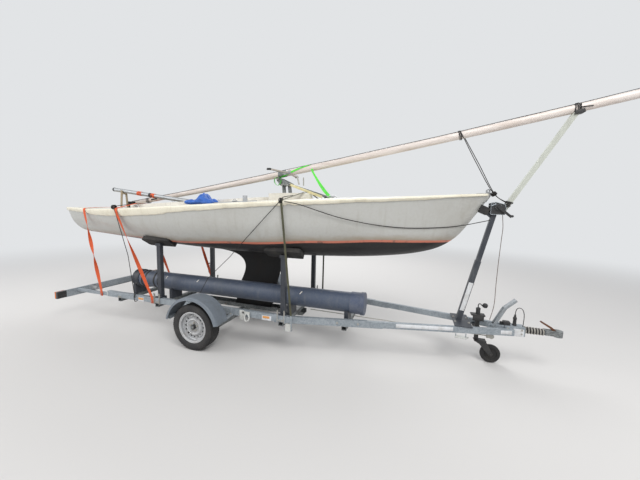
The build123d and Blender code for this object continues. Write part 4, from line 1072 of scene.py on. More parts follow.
def makeRatchets():
    bm = bmesh.new()
    # one lies on the rail, one is on the far leg
    addRatchet(bm, (-2.085, -0.628, 0.473), (-1, 0, 0), (0, 0, 1))
    gunwaleX, railX = belt["middle"]
    edgeY, top = station(gunwaleX, 1) + 0.021, station(gunwaleX, 2) - 0.05
    foot, head = Vector((railX, belt["railSide"], belt["railTop"])), Vector((gunwaleX, edgeY, top))
    addRatchet(bm, head.lerp(foot, 0.88), head - foot, (0, 1, 0))
    for railX in (belt[k][1] for k in ("middle", "aft", "olive")):  # hooks round the rail's lower edge
        for side in (-1, 1):
            path = route([(railX, side * 0.657, 0.43), (railX, side * 0.658, 0.395),
                          (railX, side * 0.648, 0.382), (railX, side * 0.634, 0.384),
                          (railX, side * 0.63, 0.388)], 5)
            roundBar(bm, path, 0.0035, 8)
    finishMesh("ratchets", bm, stainless, angle=40)


makeRatchets()
print("lashings made")


# Free cords: the bow rope and the lamp cable, on the routes of the part's own tubes

bowRope = {
    "diameter": 0.010,
    "length": 2.416,
    "points": (
        (1.162, -0.851, 1.853), (1.262, -0.838, 1.838), (1.370, -0.820, 1.812), (1.490, -0.792, 1.772),
        (1.620, -0.745, 1.728), (1.755, -0.700, 1.688), (1.895, -0.647, 1.658), (2.035, -0.590, 1.630),
        (2.180, -0.517, 1.609), (2.325, -0.458, 1.595), (2.465, -0.400, 1.588), (2.600, -0.340, 1.590),
        (2.730, -0.282, 1.595), (2.860, -0.212, 1.603), (2.985, -0.137, 1.615), (3.105, -0.065, 1.634),
        (3.225, -0.030, 1.662), (3.368, -0.012, 1.698)),
}
plugCable = {
    "diameter": 0.008,
    "length": 0.332,
    "points": (
        (3.705, 0, 0.621), (3.706, 0, 0.655), (3.716, -0.003, 0.690), (3.742, -0.008, 0.706),
        (3.770, -0.013, 0.692), (3.786, -0.017, 0.650), (3.789, -0.020, 0.595), (3.786, -0.022, 0.540),
        (3.784, -0.022, 0.491)),
}


def routeCurve(name, points):
    curve = bpy.data.curves.new(name, "CURVE")
    curve.dimensions = "3D"
    curve.resolution_u = 10
    spline = curve.splines.new("NURBS")
    spline.points.add(len(points) - 1)
    for point, place in zip(spline.points, points):
        point.co = (*at(*place), 1)
    spline.order_u = 3
    spline.use_endpoint_u = True
    return newObject(name, curve)


def routeLine(name, points):  # points read from the route's own smooth line
    guide = routeCurve(name + "Guide", points)
    graph = bpy.context.evaluated_depsgraph_get()
    mesh = bpy.data.meshes.new_from_object(guide.evaluated_get(graph))
    line = [v.co.copy() for v in mesh.vertices]
    bpy.data.objects.remove(guide)
    bpy.data.meshes.remove(mesh)
    return line


def evenLine(line, pitch):
    lengths = distances(line)
    count = max(2, round(lengths[-1] / pitch))
    made, k = [], 0
    for i in range(count + 1):
        want = lengths[-1] * i / count
        while k < len(lengths) - 2 and lengths[k + 1] < want:
            k += 1
        share = (want - lengths[k]) / max(lengths[k + 1] - lengths[k], 1e-9)
        made.append(line[k].lerp(line[k + 1], min(max(share, 0), 1)))
    return made


def laidRope(bm, line, diameter, pitch=0.008):
    # strands wound round a line; lay is the length of one turn in diameters
    strands, lay = 3, 5.0
    line = evenLine(line, pitch)
    step = (line[1] - line[0]).length
    normal = (line[1] - line[0]).orthogonal().normalized()
    frames = []
    for i, p in enumerate(line):
        along = heading(line, i)
        normal = (normal - along * normal.dot(along)).normalized()
        frames.append((p, normal.copy(), along.cross(normal)))
    for s in range(strands):
        path = []
        for i, (p, a, b) in enumerate(frames):
            turn = 2 * math.pi * (s / strands + i * step / (lay * diameter))
            path.append(p + (a * math.cos(turn) + b * math.sin(turn)) * diameter * 0.235)
        roundBar(bm, path, diameter * 0.265, 7)


def makeCords():
    line = routeLine("bowRope", bowRope["points"])
    bm = bmesh.new()
    laidRope(bm, line, bowRope["diameter"], bowRope["diameter"] * 0.55)
    rope = finishMesh("bowRope", bm, ropeBlack, replaces=("bow_rope",), angle=80)
    cable = routeCurve("plugCable", plugCable["points"])
    cable.data.bevel_depth = plugCable["diameter"] / 2
    cable.data.bevel_resolution = 4
    cable.data.use_fill_caps = True
    cable.data.materials.append(blackPlastic)
    declare(cable, replaces=("plug_cable",))


ropeBlack = grimyPaint("ropeBlack", (30, 29, 30), (88, 82, 74), 0.5, 0.0, 30.0, 0.85)
makeCords()


# Taut lines: the lashing over the well, the line down from the winch, the stays of the mast arm


def makeTautLines():
    bm = bmesh.new()
    edge = station(-1.53, 1) + 0.022
    over = [at(-1.56, 0.46, 1.800), at(-1.55, 0.10, 1.808), at(-1.54, -0.34, 1.795),
            at(-1.535, -edge + 0.03, 1.756), at(-1.53, -edge - 0.004, 1.730),
            at(-1.50, -edge - 0.004, 1.66)]
    laidRope(bm, smoothPath(over, 14) + [at(-1.38, -0.665, 1.05), at(-1.30, -0.66, 0.50)], 0.010)
    around = [(-1.30, -0.66, 0.50), (-1.30, -0.664, 0.43), (-1.30, -0.656, 0.375), (-1.30, -0.62, 0.37),
              (-1.30, -0.592, 0.40), (-1.295, -0.590, 0.46), (-1.29, -0.62, 0.48), (-1.288, -0.655, 0.478),
              (-1.285, -0.665, 0.43)]
    laidRope(bm, smoothPath([at(*p) for p in around], 8), 0.010)
    for k in range(4):  # the hitch on the gunwale
        x = -1.565 + 0.013 * k
        loop = [at(x + 0.004 * math.sin(a), -edge + 0.012 + 0.024 * math.cos(a),
                   1.742 + 0.026 * math.sin(a)) for a in angles(16)]
        roundBar(bm, loop, 0.0055, 8, True)
    chainEdge = station(1.13, 1) + 0.02
    laidRope(bm, route([(1.16, -0.60, 1.93), (1.13, -0.78, 1.905), (1.108, -chainEdge, 1.872),
                        (1.09, -chainEdge, 1.84), (0.95, -0.86, 1.69)], 12)
             + [at(0.60, -0.80, 1.36)], 0.009)
    laidRope(bm, [at(0.60, -0.80, 1.36), at(0.30, -0.62, 1.14), at(-0.12, -0.52, 0.80),
                  at(-0.28, -0.56, 0.50)], 0.009)
    for k in range(3):
        x = 1.10 + 0.014 * k
        loop = [at(x, -chainEdge + 0.010 + 0.024 * math.cos(a), 1.862 + 0.028 * math.sin(a))
                for a in angles(16)]
        roundBar(bm, loop, 0.005, 8, True)
    finishMesh("lashingRopes", bm, ropeBlack, angle=80)

    bm = bmesh.new()
    for dx, dy in ((0.0, -0.034), (0.038, 0.030)):
        laidRope(bm, route([(2.984 + dx, dy * 1.1, 2.700 - dx * 0.6), (3.170 + dx, dy, 2.344),
                            (3.366 + dx * 0.6, dy * 0.8, 2.008), (3.524, dy * 0.8, 1.892)], 14), 0.0095)
    for k in range(3):  # the knot above the stem
        loop = [at(3.372 + 0.008 * k + 0.022 * math.cos(a), 0.034 * math.sin(a),
                   2.004 - 0.008 * k + 0.016 * math.cos(a + 1)) for a in angles(16)]
        roundBar(bm, loop, 0.0055, 8, True)
    for k in range(6):  # wraps at the foot of the mast arm
        centre = Vector((3.519 + 0.005 * k, 0, 1.864 + 0.0085 * k))
        loop = [at(*(centre + Vector((0.034 * math.cos(a), 0.034 * math.sin(a), 0.010 * math.sin(a + k)))))
                for a in angles(18)]
        roundBar(bm, loop, 0.0052, 8, True)
    finishMesh("armRopes", bm, ropeBlack, angle=80)

    bm = bmesh.new()
    roundBar(bm, route([(3.480, -0.03, 1.76), (3.499, -0.012, 1.613), (3.497, -0.004, 1.498),
                        (3.488, 0, 1.218), (3.483, 0, 0.946), (3.481, 0, 0.705),
                        (3.449, 0, 0.52)], 10), 0.0032, 8)
    finishMesh("winchLine", bm,
               grimyPaint("brownCord", (96, 74, 60), (60, 48, 40), 0.6, 0.0, 40.0, 0.8), angle=80)


makeTautLines()
print("ropes made")


# The bright strap round the mast and its trestle


def makeGreenStrap():
    bm = bmesh.new()
    path, ways = [], []
    for i in range(49):  # round the roller, then along the mast's side in one long turn
        share = i / 48
        x = 0.700 + 0.47 * share
        around = 168 - 150 * share ** 0.8
        path.append(offMast(x, around, 0.004))
        ways.append(mastFrame(x)[1])
    addRibbon(bm, path, 0.024, 0.002, ways)
    path = [offMast(1.17, a, 0.004) for a in range(20, -121, -10)]
    addRibbon(bm, path, 0.024, 0.002, mastFrame(1.17)[1])
    path = [at(1.185, -0.036, 2.315), at(1.25, -0.09, 2.22), at(1.40, -0.20, 2.03), at(1.545, -0.30, 1.905)]
    addRibbon(bm, smoothPath(path, 6), 0.024, 0.002, (0.75, 0.3, 0.6))
    path = [at(1.175, 0.03, 2.29), at(1.28, -0.03, 2.16), at(1.44, -0.13, 1.99), at(1.556, -0.24, 1.91)]
    addRibbon(bm, smoothPath(path, 6), 0.024, 0.002, (0.6, 0.5, 0.5))
    loop = [at(0.705 + 0.05 * math.cos(a), -0.071 + 0.012 * math.sin(2 * a), 2.150 + 0.055 * math.sin(a))
            for a in angles(24, 1)]
    addRibbon(bm, loop, 0.024, 0.002, (0, 1, 0))
    finishMesh("greenStrap", bm, greenWebbing, angle=60)


makeGreenStrap()
print("bright strap made")


# Bolts, nuts and tread blocks come from Geometry Nodes: one head or block on each point of a small mesh,
# turned to the point's own aim


def geometryTree(name, sockets):
    group = bpy.data.node_groups.new(name, "GeometryNodeTree")
    group.interface.new_socket("Points", in_out="INPUT", socket_type="NodeSocketGeometry")
    for label, kind, value in sockets:
        socket = group.interface.new_socket(label, in_out="INPUT", socket_type="NodeSocket" + kind)
        if value is not None:
            socket.default_value = value
    group.interface.new_socket("Geometry", in_out="OUTPUT", socket_type="NodeSocketGeometry")
    t = Tree(group)
    return group, t, t.node("NodeGroupInput").outputs, t.node("NodeGroupOutput").inputs


# the shape on every point, its own z along "aim" and its own x along "along"
def turnedCopies(t, given, shape):
    def vector(name):
        named = t.node("GeometryNodeInputNamedAttribute", {"Name": name}, data_type="FLOAT_VECTOR")
        return named.outputs["Attribute"]

    first = t.node("FunctionNodeAlignRotationToVector", {"Vector": vector("aim")}, axis="Z")
    turns = {"Rotation": first.outputs[0], "Vector": vector("along")}
    second = t.node("FunctionNodeAlignRotationToVector", turns, axis="X", pivot_axis="Z")
    inputs = {"Points": given["Points"], "Instance": shape, "Rotation": second.outputs[0]}
    copies = t.node("GeometryNodeInstanceOnPoints", inputs)
    real = t.node("GeometryNodeRealizeInstances", {0: copies.outputs[0]})
    painted = {"Geometry": real.outputs[0], "Material": given["Material"]}
    return t.node("GeometryNodeSetMaterial", painted).outputs[0]


def makeBoltTree():  # a hexagonal head, its washer and the end of its thread
    group, t, given, result = geometryTree("hexBolts", [
        ("Radius", "Float", 0.009), ("Height", "Float", 0.008), ("Material", "Material", None)])
    both = t.node("GeometryNodeJoinGeometry")
    for corners, wide, tall, share in ((6, 1, 1, 0.7), (20, 1.45, 0.25, 0.12), (12, 0.5, 1.5, 0.9)):
        sizes = {"Vertices": corners, "Radius": t.times(given["Radius"], wide),
                 "Depth": t.times(given["Height"], tall)}
        part = t.node("GeometryNodeMeshCylinder", sizes)
        shift = t.node("ShaderNodeCombineXYZ", {"Z": t.times(given["Height"], share)})
        move = t.node("GeometryNodeTransform",
                      {"Geometry": part.outputs["Mesh"], "Translation": shift.outputs[0]})
        t.give(both.inputs[0], move.outputs[0])
    t.give(result[0], turnedCopies(t, given, both.outputs[0]))
    return group


def makeBlockTree():
    group, t, given, result = geometryTree("treadBlocks", [
        ("Size", "Vector", (0.02, 0.02, 0.008)), ("Material", "Material", None)])
    block = t.node("GeometryNodeMeshCube", {"Size": given["Size"]})
    t.give(result[0], turnedCopies(t, given, block.outputs["Mesh"]))
    return group


boltTree, blockTree = makeBoltTree(), makeBlockTree()


def placeCopies(name, tree, rows, material, body=mainBody, **settings):
    # rows are (point, aim, along); the result is one plain mesh
    mesh = bpy.data.meshes.new(name + "Points")
    mesh.from_pydata([r[0] for r in rows], [], [])
    for key, column in (("aim", 1), ("along", 2)):
        layer = mesh.attributes.new(key, "FLOAT_VECTOR", "POINT")
        for entry, row in zip(layer.data, rows):
            entry.vector = row[column]
    carrier = newObject(name + "Points", mesh)
    modifier = carrier.modifiers.new("copies", "NODES")
    modifier.node_group = tree
    settings["Material"] = material
    for item in tree.interface.items_tree:
        if item.in_out == "INPUT" and item.name in settings:
            modifier[item.identifier] = settings[item.name]
    graph = bpy.context.evaluated_depsgraph_get()
    made = bpy.data.meshes.new_from_object(carrier.evaluated_get(graph))
    bpy.data.objects.remove(carrier)
    if not made.materials:
        made.materials.append(material)
    declare(newObject(name, made), body)


boltZinc = grimyPaint("boltZinc", (178, 178, 172), (124, 98, 74), 0.6, 0.0, 40.0, 0.45, metallic=0.35)


rail = {"middle": 0.625, "outer": 0.650, "noseX": 1.15, "noseRun": 2.45, "noseHalf": 0.092,
        "armHalf": 0.0215}


def armSide(x):  # how far out the drawbar's outer face lies
    slope = rail["noseHalf"] - rail["middle"]
    return rail["middle"] + (x - rail["noseX"]) * slope / rail["noseRun"] + rail["armHalf"]


def makeFrameBolts():
    rows = []
    up, out = Vector((0, 0, 1)), Vector((1, 0, 0))
    for side in (-1, 1):
        face = Vector((0, side, 0))
        for x in (-1.6, -0.89, 1.04):
            for dx in (-0.018, 0.018):
                rows.append((at(x + dx, side * rail["outer"], 0.408), face, out))
        for x in (-0.89, 1.04):  # through the posts' clamp plates
            for dx in (-0.045, 0.045):
                for z in (0.408, 0.452):
                    rows.append((at(x + dx, side * 0.532, z), -face, out))
        for dx in (-0.075, 0.0, 0.075):
            rows.append((at(0.15 + dx, side * rail["outer"], 0.355), face, out))
        for x, z in ((3.625, 0.418), (3.625, 0.462), (3.765, 0.418), (3.765, 0.462)):
            rows.append((at(x, side * 0.062, z), face, out))
        for x in (3.065, 3.215):
            rows.append((at(x, side * 0.085, 0.4775), up, out))
        for x in (-0.352, 0.352):
            rows.append((at(x, side * 0.69, 0.414), up, out))
        for x in (1.72, 1.96):
            rows.append((at(x, side * (armSide(x) + 0.004), 0.43), face, out))
    for y in (-0.70, -0.625, 0.625, 0.70):
        rows.append((at(-2.545, y, 0.40), Vector((-1, 0, 0)), up))
    placeCopies("frameBolts", boltTree, rows, boltZinc, Radius=0.0095, Height=0.008)


def makeUBolts():  # round bars bent over the rails at the posts
    bm = bmesh.new()
    rows = []
    for side in (-1, 1):
        for x in (-0.935, -0.845, 0.995, 1.085):
            outer, inner = side * 0.6555, side * 0.5945
            path = route([(x, outer, 0.538), (x, outer, 0.44), (x, outer, 0.392),
                          (x, outer - side * 0.008, 0.383), (x, side * 0.625, 0.382),
                          (x, inner + side * 0.006, 0.383), (x, inner, 0.392)], 5)
            roundBar(bm, path, 0.0062, 8)
            addBlock(bm, at(x, side * 0.648, 0.494), (0.018, 0.010, 0.060), 0.002)
            rows.append((at(x, outer - side * 0.001, 0.5225), Vector((0, 0, 1)), Vector((1, 0, 0))))
    finishMesh("uBolts", bm, boltZinc, angle=50)
    placeCopies("uBoltNuts", boltTree, rows, boltZinc, Radius=0.0085, Height=0.007)


makeFrameBolts()
makeUBolts()
print("bolts placed")


# Wheels: carcass with grooves, tread blocks, wheel bolts, dust cap and valve

tyre = {"radius": 0.2915, "width": 0.175, "groove": 0.006, "blocks": 66, "bead": 0.177, "flange": 0.196,
        "side": 0.902}


def tyreProfile():  # (distance from the middle plane, radius), outboard half
    r, w, g = tyre["radius"], tyre["width"] / 2, tyre["groove"]
    tread = [(0.0, r - 0.0005)]
    for edge in (0.0145, 0.0415):
        tread += [(edge - 0.003, r - 0.001), (edge - 0.0022, r - g), (edge + 0.0022, r - g),
                  (edge + 0.003, r - 0.0012)]
    tread += [(0.060, r - 0.003), (0.069, r - 0.0065), (0.0765, r - 0.014)]
    wall = [(0.0815, r - 0.024), (0.0828, r - 0.025), (0.0845, r - 0.036), (0.0862, r - 0.037),
            (w - 0.0002, r - 0.047), (w, r - 0.055), (0.0862, r - 0.064), (0.0868, r - 0.0655),
            (0.0835, r - 0.078), (0.0828, r - 0.079), (0.076, tyre["flange"] + 0.004),
            (0.0712, tyre["flange"] - 0.002), (0.0645, tyre["flange"] - 0.008),
            (0.0612, tyre["bead"] + 0.001)]
    return tread + wall


def makeTyre(name, side, body):
    profile = tyreProfile()
    whole = [(-d, r) for d, r in reversed(profile)] + profile[1:]
    bm = bmesh.new()
    centre = at(0, side * tyre["side"], tyre["radius"])
    rows = [[centre + Vector((math.cos(a) * r, d, math.sin(a) * r)) for a in angles(132)] for d, r in whole]
    addGrid(bm, rows + [rows[0]], caps=False)
    bmesh.ops.remove_doubles(bm, verts=bm.verts, dist=0.00001)
    finishMesh("tyreBody_" + name, bm, makeTyrePaint(), 28, body, ("tyre_" + name,))
    lugs = []
    for k, a in enumerate(angles(tyre["blocks"] * 2)):
        out, along = Vector((math.cos(a), 0, math.sin(a))), Vector((-math.sin(a), 0.0, math.cos(a)))
        for s in (-1, 1):
            d = 0.0625 if k % 2 else 0.0655
            place = centre + out * (tyre["radius"] - 0.0055) + Vector((0, s * d, 0))
            lugs.append((place, (out + Vector((0, s * 0.24, 0))).normalized(), along))
    placeCopies("shoulderLugs_" + name, blockTree, lugs, darkRubber, body, Size=(0.0085, 0.021, 0.006))


def makeTyrePaint():
    f = Finish("tyrePaint")
    t = f.t
    paleMask = t.ramp(t.noise(f.place, 7, 6, 0.65), 0.4, 0.7)
    fine = t.ramp(t.noise(f.place, 90, 4, 0.7), 0.45, 0.7)
    base = t.mix(t.times(paleMask, 0.45), srgb(36, 36, 38), srgb(82, 79, 75))
    color = t.mix(t.times(fine, 0.2), base, srgb(104, 99, 93))
    return f.done(color, t.plus(0.7, t.times(paleMask, 0.2)), t.noise(f.place, 260, 3, 0.6), 0.0005, 0.4)


# painted highlight: a lighter silver than the disc's, for the rim and its raised rings
rimHighlightSilver = grimyPaint("rimHighlightSilver", (222, 223, 224), (150, 140, 126), 0.4, 0.1, 14.0, 0.32, metallic=0.3)


def makeWheelTrim(name, side, body):
    bm = bmesh.new()
    centre = at(0, side * tyre["side"], tyre["radius"])
    axis = (0, side, 0)
    addTurned(bm, centre, axis,
              [(0.033, 0.0), (0.033, 0.031), (0.046, 0.0305), (0.062, 0.029), (0.071, 0.026),
               (0.0765, 0.019), (0.0785, 0.008), (0.0787, 0.0)], 36)
    a = math.radians(62)
    foot = centre + Vector((math.cos(a) * 0.157, side * 0.036, math.sin(a) * 0.157))
    addTurned(bm, foot, (math.cos(a) * -0.3, side, math.sin(a) * -0.3),
              [(-0.006, 0.0), (-0.006, 0.008), (0.004, 0.0075), (0.006, 0.0042), (0.024, 0.0038),
               (0.025, 0.005), (0.034, 0.005), (0.035, 0.0)], 16)
    finishMesh("dustCap_" + name, bm, blackPlastic, body=body, angle=40)
    bm = bmesh.new()
    for d, r, wire in ((0.0735, 0.1935, 0.0030), (0.0492, 0.0930, 0.0030), (0.0700, 0.1760, 0.0020)):
        roundBar(bm, [centre + Vector((math.cos(a) * r, side * d, math.sin(a) * r))
                      for a in angles(72)], wire, 8, True)
    finishMesh("rimRings_" + name, bm, rimHighlightSilver, body=body, angle=60)
    rows = []
    for a in (step + 0.3 for step in angles(5)):
        place = centre + Vector((math.cos(a) * 0.050, side * 0.0365, math.sin(a) * 0.050))
        rows.append((place, Vector(axis), Vector((1, 0, 0))))
    placeCopies("wheelBolts_" + name, boltTree, rows, boltZinc, body, Radius=0.0095, Height=0.012)


for name, side in (("right", -1), ("left", 1)):
    makeTyre(name, side, "wheel_" + name)
    makeWheelTrim(name, side, "wheel_" + name)
print("wheels made")


# Reflectors, strips and plates on the frame


def film(half):  # the section of a thin strip: place across it, and height
    return (-half, 0.0), (0.001 - half, 0.0012), (half - 0.001, 0.0012), (half, 0.0)


def makeStrips():
    bm = bmesh.new()
    for side in (-1, 1):
        for x0, x1, z in ((2.395, 3.028, 0.436), (3.54, 3.656, 0.432)):
            places = (x0 + (x1 - x0) * i / 8 for i in range(9))
            addGrid(bm, [[at(x, side * (armSide(x) + d), z + h) for h, d in film(0.022)]
                         for x in places], False)
    for side in (-1, 1):
        rows = []
        for i in range(9):
            share = 0.100 + 0.255 * i / 8
            centre = Vector((3.108 + 0.305 * share, 0, 0.4675 + 1.3645 * share))
            rows.append([at(centre.x + dx, side * (0.030 + d), centre.z - dx * 0.18)
                         for dx, d in film(0.024)])
        addGrid(bm, rows, False)
        addBlock(bm, at(3.735, side * 0.0628, 0.428), (0.105, 0.003, 0.088), 0.001)
        for x, wide in ((0.848, 0.128), (-1.18, 0.100)):
            addBlock(bm, at(x, side * 0.6525, 0.416), (wide, 0.007, 0.056), 0.002)
    paint = celledPaint("stripPaint", (222, 224, 226), (150, 142, 130), 0.5, 0.3, 12.0, 0.3, 0.4,
                        220, 0.0006, 0.4)
    finishMesh("reflectiveStrips", bm, paint, angle=60)

    bm = bmesh.new()
    for side in (-1, 1):
        for x in (0.844, -1.18):
            addBlock(bm, at(x, side * 0.657, 0.427), (0.092, 0.008, 0.028), 0.003)
    amber = celledPaint("amberLens", (216, 144, 66), (196, 172, 138), 0.6, 0.1, 20.0, 0.2, 0.5,
                        190, 0.001, 0.6)
    finishMesh("sideReflectors", bm, amber, angle=40)

    bm = bmesh.new()
    for side in (-1, 1):
        addBlock(bm, at(0.500, side * 0.656, 0.412), (0.070, 0.008, 0.126), 0.003)
        addBlock(bm, at(0.560, side * 0.656, 0.446), (0.110, 0.008, 0.030), 0.003)
        ring = [at(0.580 + 0.034 * math.cos(a), side * (0.668 + 0.006 * (1 - math.sin(a))),
                   0.392 + 0.046 * math.sin(a)) for a in angles(24)]
        roundBar(bm, ring, 0.0105, 8, True)
        addBlock(bm, at(-1.853, side * 0.625, 0.430), (0.012, 0.056, 0.086), 0.004)
    finishMesh("tiePlates", bm, paleSteel, angle=40)


makeStrips()
print("frame trim made")


# Trim of the trailer: rolled guard edges, hook brackets, pipe rings, the loop under the drawbar


def makeGuardRims():
    bm = bmesh.new()
    for side in (-1, 1):
        for y, r in ((0.7715, 0.363), (1.0135, 0.351)):
            arc = [at((r + 0.001) * math.cos(a), side * y, tyre["radius"] + (r + 0.001) * math.sin(a))
                   for a in (math.radians(12.5 + 155 * i / 40) for i in range(41))]
            roundBar(bm, arc, 0.0045, 8)
    finishMesh("guardRims", bm, guardSteel, angle=50)


pipe = {"y": -0.300, "z": 0.630, "radius": 0.1245}


def makePipeTrim():
    bm = bmesh.new()
    for x, r, half in ((-1.52, 0.1345, 0.010), (-1.42, 0.1345, 0.008), (-1.36, 0.131, 0.014),
                       (-1.19, 0.131, 0.016), (-1.12, 0.129, 0.008)):
        profile = [(-half, pipe["radius"]), (-half * 0.8, r - 0.002), (-half * 0.4, r), (half * 0.4, r),
                   (half * 0.8, r - 0.002), (half, pipe["radius"])]
        addTurned(bm, at(0, pipe["y"], pipe["z"]) + Vector((x, 0, 0)), (1, 0, 0), profile, 56, False)
    finishMesh("pipeRings", bm, blackPlastic, angle=50)
    bm = bmesh.new()
    tapeRadius = 0.1262
    for x, lean in ((-0.954, 0.1), (-0.391, 0.16), (1.204, 0.16)):  # scraps of pale tape on the pipe
        path = []
        for i in range(6):
            a = math.radians(30 + 3.5 * i)
            y, z = pipe["y"] - tapeRadius * math.cos(a), pipe["z"] + tapeRadius * math.sin(a)
            path.append(at(x + lean * 0.03 * (i - 3), y, z))
        addRibbon(bm, path, 0.013, 0.001, (1, 0, 0))
    finishMesh("pipeTape", bm, whiteGelcoat, angle=50)


def makeFrameTrim():
    bm = bmesh.new()
    for side in (-1, 1):
        addBlock(bm, at(1.178, side * 0.656, 0.412), (0.030, 0.010, 0.150), 0.003)
        hook = [at(1.18 + 0.016 * math.sin(a), side * 0.664, 0.318 - 0.016 * math.cos(a))
                for a in (math.pi * i / 8 for i in range(-5, 12))]
        roundBar(bm, hook, 0.0045, 8)
        for x, wide in ((0.980, 0.062), (1.092, 0.026), (0.335, 0.030)):
            addBlock(bm, at(x, side * 0.6535, 0.430), (wide, 0.007, 0.100), 0.002)
    for x, y in ((3.06, -0.240), (3.17, -0.215)):
        roundBar(bm, [at(x, y, 0.350), at(x, y + 0.004, 0.392)], 0.005, 8)
    finishMesh("frameBrackets", bm, steel, angle=40)
    bm = bmesh.new()
    for side in (-1, 1):  # the blocks that the straps hook into
        addBlock(bm, at(1.142, side * 0.652, 0.337), (0.070, 0.038, 0.094), 0.006)
    loop = [at(3.045, -0.245, 0.352), at(3.165, -0.245, 0.346), at(3.200, -0.205, 0.346),
            at(3.085, -0.205, 0.352)]
    roundBar(bm, loop, 0.009, 8, True)
    finishMesh("strapAnchors", bm, paleSteel, angle=40)
    bm = bmesh.new()
    wire = route([(-1.60, -0.600, 0.378), (-1.9, -0.596, 0.405), (-2.3, -0.60, 0.400),
                  (-2.46, -0.55, 0.385), (-2.495, -0.30, 0.350), (-2.497, 0.0, 0.345),
                  (-2.497, 0.40, 0.347), (-2.497, 0.74, 0.372)], 8)
    roundBar(bm, wire, 0.004, 8)
    finishMesh("lampWire", bm, blackPlastic, angle=60)


# The drawbar's nose: the ribbed gaiter, the brake lever, the jockey wheel's plate and wire handle

nose = {
    "ribs": 7,
    "ribHeight": 0.009,
    "leverFoot": (3.482, 0.452),
    "leverKnee": (3.588, 0.676),
    "leverGrip": (3.700, 0.786),
    "leverHalf": 0.031,
    "jockeyTop": (3.320, 0.650),
}


def makeGaiterPaint():  # pale in patches on the crests, black in the folds
    f = Finish("gaiterPaint")
    t = f.t
    low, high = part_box("coupling_bellows")
    along = t.math("SUBTRACT", t.parts(f.place)[0], low[0])
    turns = t.times(along, 2 * math.pi * nose["ribs"] / (high[0] - low[0]))
    crest = t.times(t.math("SUBTRACT", 1.0, t.math("COSINE", turns)), 0.5)
    # lighter in patches on the rib crests
    paleMask = t.times(t.ramp(crest, 0.25, 0.8), t.ramp(t.noise(f.place, 22, 5, 0.6), 0.2, 0.55))
    color = t.mix(paleMask, srgb(34, 34, 35), srgb(158, 154, 146))
    return f.done(color, 0.8, t.noise(f.place, 180, 3, 0.6), 0.0005, 0.4)


def makeNose():
    low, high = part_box("coupling_bellows")
    outer = (high[2] - low[2]) / 2
    count = nose["ribs"] * 12
    profile = []
    for i in range(count + 1):
        crest = (1 - math.cos(2 * math.pi * nose["ribs"] * i / count)) / 2
        radius = outer - nose["ribHeight"] * (1 - crest ** 0.7) - 0.003 * i / count
        profile.append(((high[0] - low[0]) * i / count, radius))
    bm = bmesh.new()
    addTurned(bm, (low[0], 0, (low[2] + high[2]) / 2), (1, 0, 0), profile, 40)
    finishMesh("gaiter", bm, makeGaiterPaint(), replaces=("coupling_bellows",), angle=60)

    bm = bmesh.new()
    (footX, footZ), (kneeX, kneeZ), (gripX, gripZ) = nose["leverFoot"], nose["leverKnee"], nose["leverGrip"]
    half = nose["leverHalf"]
    slope = math.atan2(kneeX - footX, kneeZ - footZ)
    long = math.hypot(kneeX - footX, kneeZ - footZ)
    for side in (-1, 1):
        addBlock(bm, at((footX + kneeX) / 2, side * half, (footZ + kneeZ) / 2), (0.032, 0.008, long + 0.02),
                 0.002, Matrix.Rotation(slope, 4, "Y"))
    rise = math.atan2(gripZ - kneeZ, gripX - kneeX)
    addBlock(bm, at((kneeX + gripX) / 2, 0, (kneeZ + gripZ) / 2 + 0.004),
             (math.hypot(gripX - kneeX, gripZ - kneeZ), 2 * half + 0.014, 0.026), 0.006,
             Matrix.Rotation(-rise, 4, "Y"))
    addTurned(bm, at(footX, -0.046, footZ + 0.012), (0, 1, 0), disc(0.0, 0.092, 0.011), 18)
    finishMesh("leverBars", bm, leverSteel, replaces=("brake_lever",), angle=40)

    bm = bmesh.new()
    x, z = nose["jockeyTop"]
    addBlock(bm, at(x - 0.002, 0, 0.568), (0.150, 0.086, 0.018), 0.004)
    addBlock(bm, at(x - 0.002, -0.048, 0.535), (0.120, 0.010, 0.060), 0.003)
    addTurned(bm, at(x, 0, z - 0.012), (0, 0, 1),
              [(0.0, 0.026), (0.008, 0.026), (0.014, 0.018), (0.022, 0.008), (0.024, 0.0)], 20)
    wire = route([(x, 0, z - 0.004), (x - 0.002, 0, z + 0.036), (x + 0.016, 0, z + 0.052),
                  (x + 0.040, -0.004, z + 0.032), (x + 0.062, -0.006, z + 0.028)], 6)
    roundBar(bm, wire, 0.0055, 10)
    addTurned(bm, at(x + 0.064, -0.006, z + 0.010), (0.15, 0, 1),
              [(0.0, 0.012), (0.006, 0.024), (0.022, 0.030), (0.040, 0.028), (0.052, 0.018),
               (0.056, 0.0)], 22)
    finishMesh("jockeyHandle", bm, blackPlastic, replaces=("jockey_crank",), angle=45)

    bm = bmesh.new()
    addBlock(bm, at(3.622, 0.0, 0.508), (0.070, 0.066, 0.040), 0.005)  # cable clip by the plug
    addBlock(bm, at(3.575, 0.02, 0.500), (0.030, 0.030, 0.024), 0.004)
    finishMesh("cableClip", bm, blackPlastic, angle=40)
    bm = bmesh.new()
    addBlock(bm, at(3.440, -0.046, 0.356), (0.050, 0.030, 0.080), 0.004)  # the brake rod's guide
    addTurned(bm, at(3.470, -0.060, 0.336), (0, 1, 0),
              [(0.0, 0.0), (0.0, 0.024), (0.006, 0.028), (0.034, 0.028), (0.040, 0.022), (0.040, 0.0)], 22)
    roundBar(bm, [at(3.476, -0.040, 0.336), at(3.2, -0.040, 0.340), at(2.2, -0.02, 0.352),
                  at(1.2, 0.0, 0.362)], 0.006, 10)
    addTurned(bm, at(3.236, 0, 0.936), (1, 0, -0.1),
              [(-0.016, 0.0), (-0.016, 0.013), (-0.006, 0.013), (-0.005, 0.007), (0.022, 0.007),
               (0.024, 0.0)], 14)
    finishMesh("brakeRod", bm, boltZinc, angle=40)


makeGuardRims()
makePipeTrim()
makeFrameTrim()
makeNose()
print("trailer trim made")
